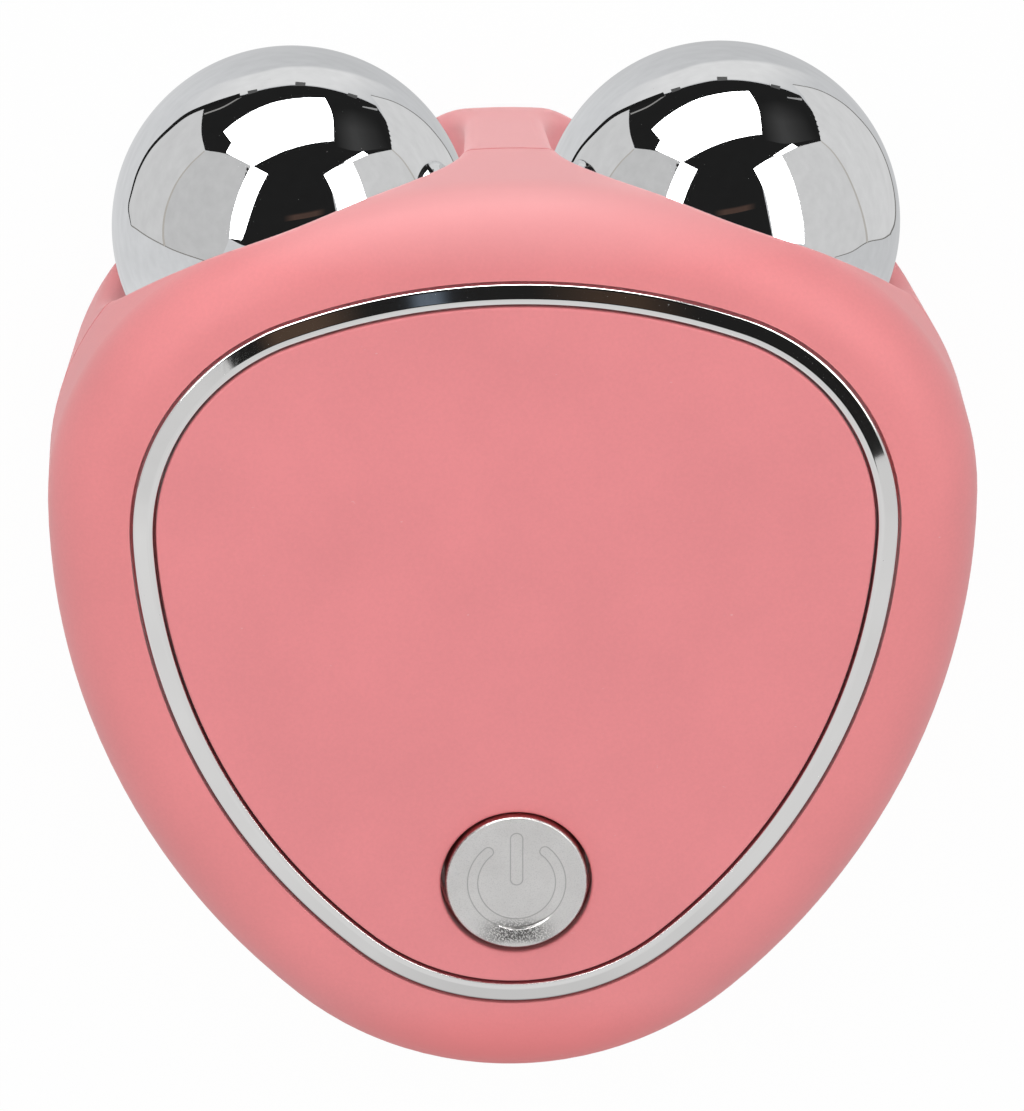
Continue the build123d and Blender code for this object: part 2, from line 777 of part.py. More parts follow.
for side, sign in (("left", -1), ("right", 1)):
    section = roller_section(sign)
    turning_axis = Axis(section.origin, section.x_dir)

    # hollow ball with a hub for its bush, turned in one profile
    mouth = -sqrt(ball_radius**2 - bush_radius**2)
    hub_root = -sqrt(inner_radius**2 - hub_radius**2)
    with BuildPart() as roller_ball:
        with BuildSketch(section):
            with BuildLine():
                ThreePointArc((mouth, bush_radius), (0, ball_radius), (ball_radius, 0))
                Line((ball_radius, 0), (inner_radius, 0))
                ThreePointArc((inner_radius, 0), (0, inner_radius), (hub_root, hub_radius))
                Polyline(
                    (hub_root, hub_radius),
                    (bush_back, hub_radius),
                    (bush_back, bush_radius),
                    (mouth, bush_radius),
                )
            make_face()
        revolve(axis=turning_axis)
    roller_ball.part.label = f"{side}_roller_ball"
    export_step(roller_ball.part, f"parts/{side}_roller_ball.step")

    with BuildPart() as roller_bush:
        with BuildSketch(roller_end(sign, bush_face)):
            Circle(bush_radius)
            Circle(shaft_radius + running_clearance, mode=Mode.SUBTRACT)
        extrude(amount=bush_length)
    roller_bush.part.label = f"{side}_roller_bush"
    export_step(roller_bush.part, f"parts/{side}_roller_bush.step")

    # shaft with a collar against the carrier's nose and a groove for the clip
    collar_radius = collar_diameter / 2
    groove_radius = shaft_radius - clip_groove_depth
    with BuildPart() as roller_shaft:
        with BuildSketch(section):
            with BuildLine():
                Polyline(
                    (thread_end, 0),
                    (thread_end, shaft_radius),
                    (nose_face, shaft_radius),
                    (nose_face, collar_radius),
                    (collar_face, collar_radius),
                    (collar_face, shaft_radius),
                    (clip_start, shaft_radius),
                    (clip_start, groove_radius),
                    (clip_start + clip_thickness, groove_radius),
                    (clip_start + clip_thickness, shaft_radius),
                    (shaft_end, shaft_radius),
                    (shaft_end, 0),
                    close=True,
                )
            make_face()
        revolve(axis=turning_axis)
    roller_shaft.part.label = f"{side}_roller_shaft"
    export_step(roller_shaft.part, f"parts/{side}_roller_shaft.step")

    with BuildPart() as shaft_clip:
        with BuildSketch(roller_end(sign, clip_start)):
            Circle(clip_diameter / 2)
            Circle(groove_radius, mode=Mode.SUBTRACT)
            with Locations((clip_diameter / 2, 0)):
                Rectangle(clip_diameter, clip_mouth, mode=Mode.SUBTRACT)
        extrude(amount=clip_thickness)
    shaft_clip.part.label = f"{side}_shaft_clip"
    export_step(shaft_clip.part, f"parts/{side}_shaft_clip.step")

    with BuildPart() as thrust_washer:
        with BuildSketch(roller_end(sign, collar_face)):
            Circle(collar_radius)
            Circle(shaft_radius + running_clearance, mode=Mode.SUBTRACT)
        extrude(amount=washer_thickness)
    thrust_washer.part.label = f"{side}_thrust_washer"
    export_step(thrust_washer.part, f"parts/{side}_thrust_washer.step")

    with BuildPart() as contact_tab:
        with BuildSketch(roller_end(sign, tab_face)):
            Circle(tab_diameter / 2)
            with Locations((0, -tab_tail_length / 2)):
                Rectangle(tab_tail_width, tab_tail_length)
            Circle(shaft_radius, mode=Mode.SUBTRACT)
        extrude(amount=-tab_thickness)
    contact_tab.part.label = f"{side}_contact_tab"
    export_step(contact_tab.part, f"parts/{side}_contact_tab.step")

    with BuildPart() as shaft_nut:
        with BuildSketch(roller_end(sign, nut_face)):
            RegularPolygon(nut_width / 2, 6, major_radius=False)
            Circle(shaft_radius, mode=Mode.SUBTRACT)
        extrude(amount=-nut_thickness)
    shaft_nut.part.label = f"{side}_shaft_nut"
    export_step(shaft_nut.part, f"parts/{side}_shaft_nut.step")

    # insulated lead from the tab's tail over the board's straight end to its upper side
    tail = roller_end(sign, tab_face - tab_thickness).origin
    bend = roller_end(sign, tab_face - tab_thickness - 2 * lead_diameter).origin
    tail_height = ball_height + tab_tail_length - lead_radius
    arch_height = max(board_top, tail_height) + 1.8
    lead_part = lead_along(
        [
            (tail.X, tail.Y, tail_height),
            (bend.X, bend.Y, tail_height),
            (bend.X, board_end_y + 0.2, arch_height),
            (bend.X, board_end_y - 2.2, arch_height),
            (bend.X, board_end_y - 2.4, board_top),
        ]
    )
    lead_part.label = f"{side}_electrode_lead"
    export_step(lead_part, f"parts/{side}_electrode_lead.step")
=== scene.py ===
import bmesh
import bpy
import numpy as np
from mathutils import Matrix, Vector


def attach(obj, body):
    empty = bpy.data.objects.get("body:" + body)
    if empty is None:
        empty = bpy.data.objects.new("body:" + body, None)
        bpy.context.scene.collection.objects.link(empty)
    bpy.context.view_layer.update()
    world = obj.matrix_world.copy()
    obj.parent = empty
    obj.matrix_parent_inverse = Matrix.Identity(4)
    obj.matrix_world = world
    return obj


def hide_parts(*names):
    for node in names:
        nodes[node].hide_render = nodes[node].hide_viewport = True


# facial toning device on its back: +Z is up from its face, +Y points from the tip to the two balls
# plans and sections are worked out in millimetres, and mm turns them into metres
mm = 0.001

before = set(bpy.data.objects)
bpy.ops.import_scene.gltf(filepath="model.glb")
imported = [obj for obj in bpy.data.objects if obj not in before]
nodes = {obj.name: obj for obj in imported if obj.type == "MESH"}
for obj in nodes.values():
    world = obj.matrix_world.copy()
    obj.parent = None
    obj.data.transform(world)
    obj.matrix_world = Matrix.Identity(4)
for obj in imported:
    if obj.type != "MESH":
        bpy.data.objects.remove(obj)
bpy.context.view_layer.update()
print("frame loaded:", len(nodes), "nodes")

# camera: looks down on the face, tilted towards the balls

cameraSet = {
    "tilt": 21.0,  # degrees from straight above, towards the balls
    "swing": 2.2,  # degrees to the left
    "target": (0.0, 4.4, 30.0),
    "distance": 500.0,
    "aside": -0.27,  # shift along the picture's width
    "lens": 274.2,
    "sensor": 36.0,
}


def cameraAxes(tilt, swing):
    # towards = direction from the object to the camera, up = +Y made square to it, right = up x towards
    t, s = np.radians(tilt), np.radians(swing)
    towards = np.array([-np.sin(s) * np.cos(t), np.sin(t), np.cos(t) * np.cos(s)])
    towards = towards / np.linalg.norm(towards)
    up = np.array([0.0, 1.0, 0.0]) - towards[1] * towards
    up = up / np.linalg.norm(up)
    return np.cross(up, towards), up, towards


right, up, towards = cameraAxes(cameraSet["tilt"], cameraSet["swing"])
spot = np.array(cameraSet["target"]) + cameraSet["distance"] * towards + cameraSet["aside"] * right
camera = bpy.data.objects.new("camera", bpy.data.cameras.new("camera"))
bpy.context.scene.collection.objects.link(camera)
turn = np.eye(4)
turn[:3, :3] = np.stack([right, up, towards], 1)
turn[:3, 3] = spot * mm
camera.matrix_world = Matrix(turn.tolist())
camera.data.sensor_fit = "HORIZONTAL"
camera.data.sensor_width = cameraSet["sensor"]
camera.data.lens = cameraSet["lens"]
camera.data.clip_start, camera.data.clip_end = 0.01, 100.0
bpy.context.scene.camera = camera
bpy.context.scene.view_settings.view_transform = "Standard"
print("camera placed")

# surfaces from numpy grids


def meshObject(name, points, faces):
    # an object at the origin from a grid of points in millimetres and its quads,
    # with doubles merged and every face turned outwards
    mesh = bpy.data.meshes.new(name)
    mesh.from_pydata((points.reshape(-1, 3) * mm).tolist(), [], faces.tolist())
    work = bmesh.new()
    work.from_mesh(mesh)
    bmesh.ops.remove_doubles(work, verts=work.verts, dist=1e-7)
    bmesh.ops.recalc_face_normals(work, faces=work.faces)
    work.to_mesh(mesh)
    work.free()
    mesh.polygons.foreach_set("use_smooth", np.ones(len(mesh.polygons), bool))
    mesh.update()
    piece = bpy.data.objects.new(name, mesh)
    bpy.context.scene.collection.objects.link(piece)
    return piece


def gridFaces(rows, columns, closeRows=False, closeColumns=True):
    # quads between neighbouring rows and columns, wrapped round where the grid closes on itself
    r = np.arange(rows if closeRows else rows - 1)[:, None]
    c = np.arange(columns if closeColumns else columns - 1)[None, :]
    r2, c2 = (r + 1) % rows, (c + 1) % columns
    quads = [r * columns + c, r * columns + c2, r2 * columns + c2, r2 * columns + c]
    return np.stack([quad + 0 * r + 0 * c for quad in quads], -1).reshape(-1, 4)


def softCorners(corners, radii, steps=5, closed=False):
    # each corner c becomes the parabola (1-t)^2 a + 2 t (1-t) c + t^2 b, where a and b
    # lie one radius before and after it on the two straight runs
    p = np.asarray(corners, float)
    r = np.broadcast_to(np.asarray(radii, float), len(p))[:, None]
    before, after = np.roll(p, 1, 0) - p, np.roll(p, -1, 0) - p
    a = p + before / np.linalg.norm(before, axis=1, keepdims=True) * r
    b = p + after / np.linalg.norm(after, axis=1, keepdims=True) * r
    t = np.linspace(0, 1, steps)[None, :, None]
    line = (1 - t) ** 2 * a[:, None] + 2 * t * (1 - t) * p[:, None] + t**2 * b[:, None]
    if closed:
        return line.reshape(-1, 2)
    return np.vstack([p[:1], line[1:-1].reshape(-1, 2), p[-1:]])


def heading(start, end):
    # angle in degrees of the line from one point to another
    return np.degrees(np.arctan2(end[1] - start[1], end[0] - start[0]))


def roundedTriangle(topY, lowY, half, topR, shoulderR, sideR, tipR, perMm=3.0):
    # plan of tangent arcs, as each sample's arc centre, radius and unit normal; touching arcs share
    # a normal where they meet, so their centres are apart by the difference of their radii
    top = np.array([0.0, topY - topR])
    shoulderX = half - shoulderR
    shoulder = np.array([shoulderX, top[1] + np.sqrt((topR - shoulderR) ** 2 - shoulderX**2)])
    tip = np.array([0.0, lowY + tipR])
    gap = np.linalg.norm(tip - shoulder)
    along = ((sideR - shoulderR) ** 2 - (sideR - tipR) ** 2 + gap**2) / (2 * gap)
    across = np.sqrt((sideR - shoulderR) ** 2 - along**2)
    unit = (tip - shoulder) / gap
    side = shoulder + along * unit + across * np.array([unit[1], -unit[0]])
    turns = [90.0, heading(top, shoulder), heading(side, shoulder), heading(side, tip), -90.0]
    arcs = [(top, topR), (shoulder, shoulderR), (side, sideR), (tip, tipR)]
    parts = []
    for k, (centre, radius) in enumerate(arcs):
        count = int(np.radians(turns[k] - turns[k + 1]) * radius * perMm) + 4
        angle = np.linspace(turns[k], turns[k + 1], count, endpoint=False)
        parts.append(np.column_stack([np.tile(centre, (count, 1)), np.full(count, radius), angle]))
    half = np.vstack(parts + [[[tip[0], tip[1], tipR, -90.0]]])
    other = half[-2:0:-1] * [-1, 1, 1, -1] + [0, 0, 0, -180]  # the same half seen in the plane x = 0
    whole = np.vstack([half, other])
    angle = np.radians(whole[:, 3])
    return whole[:, :2], whole[:, 2], np.stack([np.cos(angle), np.sin(angle)], -1)


def carryRound(plan, section):
    # a section of (inset, height) points carried round a plan: centre + (radius - inset) * normal
    centres, radii, normals = plan
    inset, height = np.asarray(section, float).T
    flat = centres[None] + (radii[None] - inset[:, None])[..., None] * normals[None]
    tall = np.broadcast_to(height[:, None, None], flat.shape[:2] + (1,))
    return np.concatenate([flat, tall], -1)


def turnProfile(profile, centre, axis, count):
    # a profile of (along, radius) points turned round an axis:
    # centre + along * axis + radius * (cos a * first + sin a * second)
    axis = np.asarray(axis, float) / np.linalg.norm(axis)
    first = np.cross(axis, [0.0, 0.0, 1.0] if abs(axis[2]) < 0.9 else [1.0, 0.0, 0.0])
    first = first / np.linalg.norm(first)
    second = np.cross(axis, first)
    a = np.linspace(0, 2 * np.pi, count, endpoint=False)
    ring = np.cos(a)[:, None] * first + np.sin(a)[:, None] * second
    along, radius = np.asarray(profile, float).T
    return np.asarray(centre) + along[:, None, None] * axis + radius[:, None, None] * ring[None]


# materials


def newMaterial(name, colour, roughness, metallic=0.0, **sockets):
    # one Principled material; sockets are further settings by their names with _ for a space
    look = bpy.data.materials.new(name)
    look.use_nodes = True
    shader = look.node_tree.nodes["Principled BSDF"]
    shader.inputs["Base Color"].default_value = (*colour, 1.0)
    shader.inputs["Roughness"].default_value = roughness
    shader.inputs["Metallic"].default_value = metallic
    for socket, value in sockets.items():
        shader.inputs[socket.replace("_", " ")].default_value = value
    return look


def addNode(look, kind, inputs=(), **settings):
    # a node of a material or the world with its settings, and its inputs given as numbers or as other
    # nodes' outputs
    node = look.node_tree.nodes.new("ShaderNode" + kind)
    for key, value in settings.items():
        setattr(node, key, value)
    for key, value in dict(inputs).items():
        if isinstance(value, bpy.types.NodeSocket):
            look.node_tree.links.new(value, node.inputs[key])
        else:
            node.inputs[key].default_value = value
    return node


def inMillimetres(look, stretch=(1, 1, 1), location=(0, 0, 0)):
    # Object coordinates in millimetres, stretched where a pattern is finer along one axis
    place = addNode(look, "TexCoord").outputs["Object"]
    scale = tuple(s / mm for s in stretch)
    return addNode(look, "Mapping", {0: place, 1: location, 3: scale}).outputs[0]


def coordinate(look, vector, axis):
    # one coordinate of a vector, with axis 0, 1 or 2 for x, y or z
    return addNode(look, "SeparateXYZ", {0: vector}).outputs[axis]


def noise(look, vector, size, detail=3.0, rough=0.55):
    # smooth noise whose features are about size millimetres across
    inputs = {"Vector": vector, "Scale": 1 / size, "Detail": detail, "Roughness": rough}
    return addNode(look, "TexNoise", inputs).outputs[0]


def spots(look, vector, size):
    # distance to the nearest of scattered points about size millimetres apart
    inputs = {"Vector": vector, "Scale": 1 / size}
    return addNode(look, "TexVoronoi", inputs).outputs[0]


def sums(look, operation, *values):
    # one step of arithmetic on outputs and numbers
    inputs = dict(enumerate(values))
    return addNode(look, "Math", inputs, operation=operation).outputs[0]


def product(look, first, *others):
    # all the values multiplied, one after the other
    for value in others:
        first = sums(look, "MULTIPLY", first, value)
    return first


def remap(look, value, low, high, newLow=0, newHigh=1):
    # a clamped straight line from low..high to newLow..newHigh
    inputs = {0: value, 1: low, 2: high, 3: newLow, 4: newHigh}
    return addNode(look, "MapRange", inputs).outputs[0]


def tones(look, value, first, second):
    # a mix of two colours by a value
    inputs = {0: value, 6: (*first, 1.0), 7: (*second, 1.0)}
    return addNode(look, "Mix", inputs, data_type="RGBA").outputs[2]


def over(look, value, below, colour):
    # a colour laid over an output where the value is 1
    inputs = {0: value, 6: below, 7: (*colour, 1.0)}
    return addNode(look, "Mix", inputs, data_type="RGBA").outputs[2]


def connect(look, socket, output):
    # an output plugged into the Principled shader
    shader = look.node_tree.nodes["Principled BSDF"]
    look.node_tree.links.new(output, shader.inputs[socket])


def bumps(look, *layers):
    # bump layers one on the other, each an output and its height in millimetres
    normal = None
    for height, depth in layers:
        inputs = {"Height": height, "Distance": depth * mm, "Strength": 1.0}
        if normal is not None:
            inputs["Normal"] = normal
        normal = addNode(look, "Bump", inputs).outputs[0]
    connect(look, "Normal", normal)


def faceUp(look):
    # 1 where the surface looks straight up
    normal = addNode(look, "TexCoord").outputs["Normal"]
    return coordinate(look, normal, 2)


def upright(look):
    # 1 on upright walls, 0 on faces that look upwards
    return remap(look, faceUp(look), 0.3, 0.5, 1, 0)


# soft-touch casing and inset panel

softTouch = {
    "casing": (0.85, 0.258, 0.270),
    "panel": (0.85, 0.262, 0.278),
    # painted highlight: paler between the balls, where the lamp behind them falls
    "bridge": (0.85, 0.355, 0.365),  # paler between the balls
    "bridgeRange": (23.5, 28.0),  # y where that shade sets in and where it is full
    # painted shade: deeper at the narrow end, which faces away from the lamp
    "tip": (0.88, 0.185, 0.19),  # deeper at the narrow end
    "tipRange": (-27.0, -33.0),
    "roughness": 0.55,
    "roughnessSpread": 0.05,
    "sheen": 0.2,
    "mottle": 0.035,  # how far the coat's colour wanders
    "grainSize": 0.14,
    "grainDepth": 0.0035,
}


def softTouchMaterial(name, colour):
    # coated plastic: a faint mottle and fine grain, paler at a grazing angle, with a painted highlight
    # between the balls and painted shade at the narrow end
    rough, spread, mottle = softTouch["roughness"], softTouch["roughnessSpread"], softTouch["mottle"]
    look = newMaterial(
        name, colour, rough, Sheen_Weight=softTouch["sheen"], Sheen_Roughness=0.5,
        Sheen_Tint=(1, 0.95, 0.95, 1), Specular_IOR_Level=0.6,
    )
    place = inMillimetres(look)
    cloud = noise(look, place, 7.0, 4.0)
    fine = noise(look, place, 0.22, 2.0)
    wander = sums(look, "ADD", product(look, cloud, 0.6), product(look, fine, 0.4))
    base = np.array(colour)
    shown = tones(look, remap(look, wander, 0.35, 0.65), base * (1 - mottle), base * (1 + mottle))
    y = coordinate(look, place, 1)
    # the painted highlight between the balls and the painted shade at the narrow end, laid over by y
    for shade in ("bridge", "tip"):
        shown = over(look, remap(look, y, *softTouch[shade + "Range"]), shown, softTouch[shade])
    dust = noise(look, inMillimetres(look, (1, 1.6, 1), (40, 0, 0)), 0.5, 1.0)
    dust = remap(look, dust, 0.80, 0.86, 0, 0.5)
    connect(look, "Base Color", over(look, dust, shown, base * 0.6 + 0.35))
    connect(look, "Roughness", remap(look, cloud, 0.3, 0.7, rough - spread, rough + spread))
    bumps(look, (noise(look, place, softTouch["grainSize"], 2.0), softTouch["grainDepth"]),
          (noise(look, place, 1.1, 1.0), 0.004))
    return look


casingPink = softTouchMaterial("casingPink", softTouch["casing"])
panelPink = softTouchMaterial("panelPink", softTouch["panel"])
for name in ("front_shell", "rear_shell"):
    nodes[name].data.materials.clear()
    nodes[name].data.materials.append(casingPink)
    nodes[name].visible_glossy = False  # the chrome mirrors the tent and the other ball alone
print("casings coated")

# the plan that the trim ring and the panel share

facePlan = roundedTriangle(
    topY=22.8, lowY=-26.85, half=24.55, topR=43.2, shoulderR=15.0, sideR=39.7, tipR=16.0,
)
faceFlat = 30.0  # height of the casing's face
panelTop = 30.27
recessFloor = 28.5

# trim ring

ring = {
    "width": 1.3,
    "gap": 0.03,  # dark line between the casing and the ring
    "proud": 0.03,  # outer edge above the casing's face
    "bandEnd": 0.93,  # inset where the sloping band ends
    "bandDrop": 0.02,  # height of the band's end below the panel's top
    "stripDrop": 0.005,  # the same for the inner strip's end
    "bevel": (0.03, 0.06),  # inner corner, inwards and down
    "supports": (0.18, 0.90),  # two points along the band that keep its shading flat
    "edge": 0.11,  # rounding of the outer edge
}


def ringSection():
    # closed section from the outer wall's foot up over its rounded edge, along the sloping band and the
    # inner strip, and down again; the band's supports are outer + share * (inner - outer)
    width, (inwards, down) = ring["width"], ring["bevel"]
    outer = np.array([ring["gap"], faceFlat + ring["proud"]])
    inner = np.array([ring["bandEnd"], panelTop - ring["bandDrop"]])
    corners = [
        (ring["gap"], recessFloor), outer, *[outer + share * (inner - outer) for share in ring["supports"]],
        inner, (width - inwards, panelTop - ring["stripDrop"]), (width, panelTop - down),
        (width, recessFloor),
    ]
    return softCorners(corners, [0.02, ring["edge"], 0.01, 0.01, 0.05, 0.02, 0.02, 0.02], closed=True)


chromeDust = {
    "apart": 1.1,  # distance between specks
    "speck": (0.06, 0.03),  # where a speck begins and is full, as a share of that distance
    "patchSize": 2.3,
    "patches": (0.55, 0.60),  # share of the patchy noise where dust lies
    "colour": (0.62, 0.61, 0.60),
    "dullness": 0.7,
}


def chromeMaterial(name, colour, roughness, smear, side=None):
    # bright plating: mirror smooth, with faint wiping marks and a few specks of dust; side is a painted
    # reflection of the casing beside it, in shade, laid on upright walls in place of their shine
    look = newMaterial(name, colour, roughness, 1.0)
    place = inMillimetres(look)
    cloud = noise(look, place, 5.0, 5.0, 0.6)
    wipes = noise(look, inMillimetres(look, (3.0, 0.35, 1.0)), 0.8, 3.0)
    marks = product(look, remap(look, cloud, 0.45, 0.75), remap(look, wipes, 0.4, 0.7))
    speck = remap(look, spots(look, place, chromeDust["apart"]), *chromeDust["speck"])
    patches = remap(look, noise(look, place, chromeDust["patchSize"], 2.0), *chromeDust["patches"])
    dust = product(look, speck, patches)
    rough = sums(look, "ADD", product(look, marks, smear), roughness)
    plated = tones(look, dust, colour, chromeDust["colour"])
    dull = product(look, dust, chromeDust["dullness"])
    if side:
        # painted reflection of the casing in shade: upright walls take the side colour and lose their metal
        # shine
        wall = upright(look)
        plated = over(look, wall, plated, side)
        dull = sums(look, "MAXIMUM", dull, wall)
    connect(look, "Base Color", plated)
    connect(look, "Metallic", sums(look, "SUBTRACT", 1.0, dull))
    connect(look, "Roughness", sums(look, "MAXIMUM", rough, product(look, dull, 0.7)))
    bumps(look, (noise(look, place, 2.5, 1.0), 0.0012))
    return look


# its upright walls painted dark red, a painted reflection of the casing in shade
trimChrome = chromeMaterial("trimChrome", (0.925, 0.91, 0.89), 0.05, 0.05, (0.34, 0.07, 0.08))
points = carryRound(facePlan, ringSection())
trimRing = meshObject("trimRing", points, gridFaces(*points.shape[:2], closeRows=True))
trimRing.data.materials.append(trimChrome)
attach(trimRing, "housing")
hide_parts("trim_ring")
print("trim ring done")

# inset panel with the button's hole

button = {
    "y": -18.10,
    "holeY": -18.32,  # the panel's hole sits a little nearer the tip
    "hole": 4.93,
    "top": 30.82,
    "signEnd": 3.56,  # radius of the fine rows that carry the sign
    "signRows": 119,
    "rimStart": 3.7,  # from here a few wider rows reach the face's edge
    "rimRows": 6,
    "turns": 512,
    "face": 4.54,  # radius of the satin face
    "lip": 0.015,  # height of its fine edge
    "bevel": 0.10,  # the bevel's foot below the face
    "wallTop": 4.61,
    "wallLow": 4.66,
    "guide": 4.62,  # radius in the casing's hole
    "flange": 5.95,
    "flangeTop": 27.22,
    "flangeLow": 26.42,
    "cavity": 3.37,
    "ceiling": 29.42,
    "nub": 1.5,
    "nubLow": 24.05,
}

panel = {
    "inset": 1.5,  # trim ring and its gap, inside the shared plan
    "edge": 0.16,  # rounding round the panel and its hole
    "edgeRows": 7,
    "rows": 46,
    "underRows": 10,
}


def panelGrid():
    # between the hole's circle h and the outline o, both by the direction n of their normals:
    # (1 - s) h(n) + s o(n), with a quarter round down to the wall at each edge
    centres, radii, normals = facePlan
    edge, edgeRows, underRows = panel["edge"], panel["edgeRows"], panel["underRows"]
    a = np.linspace(0, np.pi / 2, edgeRows)
    inward, drop = edge * (1 - np.cos(a)), edge * (1 - np.sin(a))
    s = np.linspace(0, 1, panel["rows"])
    s = (s * s * (3 - 2 * s))[1:-1]
    back = np.linspace(1, 0, underRows + 2)[1:-1]
    share = np.concatenate([np.zeros(edgeRows + 1), s, np.ones(edgeRows + 1), back])
    pull = np.concatenate([[0.0], inward, np.full(len(s), edge), inward[::-1], np.zeros(underRows + 1)])
    height = np.concatenate([
        [recessFloor], panelTop - drop, np.full(len(s), panelTop), panelTop - drop[::-1],
        np.full(underRows + 1, recessFloor),
    ])
    share, pull, height = share[:, None, None], pull[:, None, None], height[:, None, None]
    hole = np.array([0.0, button["holeY"]]) + (button["hole"] + pull) * normals[None]
    outline = centres[None] + (radii[None, :, None] - panel["inset"] - pull) * normals[None]
    flat = (1 - share) * hole + share * outline
    return np.concatenate([flat, np.broadcast_to(height, flat.shape[:2] + (1,))], -1)


points = panelGrid()
insetPanel = meshObject("insetPanel", points, gridFaces(*points.shape[:2], closeRows=True))
insetPanel.data.materials.append(panelPink)
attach(insetPanel, "housing")
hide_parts("front_panel")
print("inset panel done")

# power button with the outline of a power sign, placed from the middle, cut into its face

sign = {
    "barLow": 0.26,
    "barHigh": 3.10,
    "barHalf": 0.40,
    "arcRadius": 2.865,
    "arcHalf": 0.335,
    "opening": 40.0,  # degrees from straight up to the arc's ends
    "line": 0.055,  # half width of the cut line
    "wornLine": 0.08,  # how much wider the line is low on the right, where it is cut to catch a glint
    "depth": 0.010,
    "wornDepth": 0.09,  # how much deeper it is there
    "wornLeft": (-1.3, -0.3),  # where that wider cut sets in and where it is full
    "wornRight": (2.4, 1.5),
    "wornTop": (-1.2, -1.7),
}


def ramp(value, low, high):
    # a clamped straight line from 0 at low to 1 at high
    return np.clip((value - low) / (high - low), 0, 1)


def signGroove(x, y):
    # distance to the sign's outline over the line's half width, and the line's full depth there; the
    # outline is the nearer of a capsule for the bar and a round-ended arc, the same left and right
    side, radius = np.abs(x), np.hypot(x, y)
    bar = np.abs(np.hypot(side, y - np.clip(y, sign["barLow"], sign["barHigh"])) - sign["barHalf"])
    angle = np.radians(sign["opening"])
    endX, endY = sign["arcRadius"] * np.sin(angle), sign["arcRadius"] * np.cos(angle)
    fromEnd = np.hypot(side - endX, y - endY)
    fromArc = np.where(np.arctan2(side, y) > angle, np.abs(radius - sign["arcRadius"]), fromEnd)
    distance = np.minimum(bar, np.abs(fromArc - sign["arcHalf"]))
    # the wider, deeper cut low on the right, shaped to catch a glint
    glint = ramp(x, *sign["wornLeft"]) * ramp(x, *sign["wornRight"]) * ramp(y, *sign["wornTop"])
    glint = glint * (radius > sign["arcRadius"])
    return distance / (sign["line"] + sign["wornLine"] * glint), sign["depth"] + sign["wornDepth"] * glint


def powerButton():
    # profile turned round the vertical: satin face, small bright edge, drafted wall, flange and nub;
    # the face is lowered by depth * (1 - ratio), where the sign's line has a ratio below 1
    b = button
    steps = np.concatenate([
        np.linspace(0, b["signEnd"], b["signRows"]),
        np.linspace(b["rimStart"], b["face"] - 0.05, b["rimRows"]),
    ])
    face = np.column_stack([np.full(len(steps), b["top"]), steps])
    edge = softCorners([
        (b["top"], b["face"] - 0.02), (b["top"] - b["lip"], b["face"]),
        (b["top"] - b["bevel"], b["wallTop"]), (panelTop - 0.1, b["wallLow"]), (panelTop - 0.6, b["guide"]),
        (b["flangeTop"], b["guide"]), (b["flangeTop"], b["flange"]), (b["flangeLow"], b["flange"]),
        (b["flangeLow"], b["cavity"]), (b["ceiling"], b["cavity"]), (b["ceiling"], b["nub"]),
        (b["nubLow"], b["nub"]), (b["nubLow"], 0.0),
    ], [0.0, 0.015, 0.04, 0.1, 0.1, 0.1, 0.1, 0.1, 0.1, 0.2, 0.2, 0.1, 0.0], 4)
    points = turnProfile(np.vstack([face, edge]), (0.0, b["y"], 0.0), (0, 0, 1), b["turns"])
    ratio, depth = signGroove(points[..., 0], points[..., 1] - b["y"])
    cut = depth * np.clip(1 - ratio, 0, 1)
    points[: len(steps), :, 2] -= cut[: len(steps)]
    return points


satin = {
    "tones": ((0.81, 0.79, 0.77), (0.875, 0.855, 0.835)),
    "grain": (0.45, 0.44, 0.43),
    # dark specks painted as reflections of the dark studio opening in the grain
    "specks": (0.09, 0.085, 0.08),
    "chips": (0.30, 0.29, 0.285),
    "wall": (0.38, 0.15, 0.15),  # painted reflection of the casing, in shade
    # painted shade in the sign's cut line
    "groove": (0.30, 0.29, 0.28),
    "patchSide": (2.8, 0.9),  # where the grainy patch sets in and where it is full
    "patchTop": (-2.4, -3.2),
    "patchLow": (-4.35, -3.95),
}


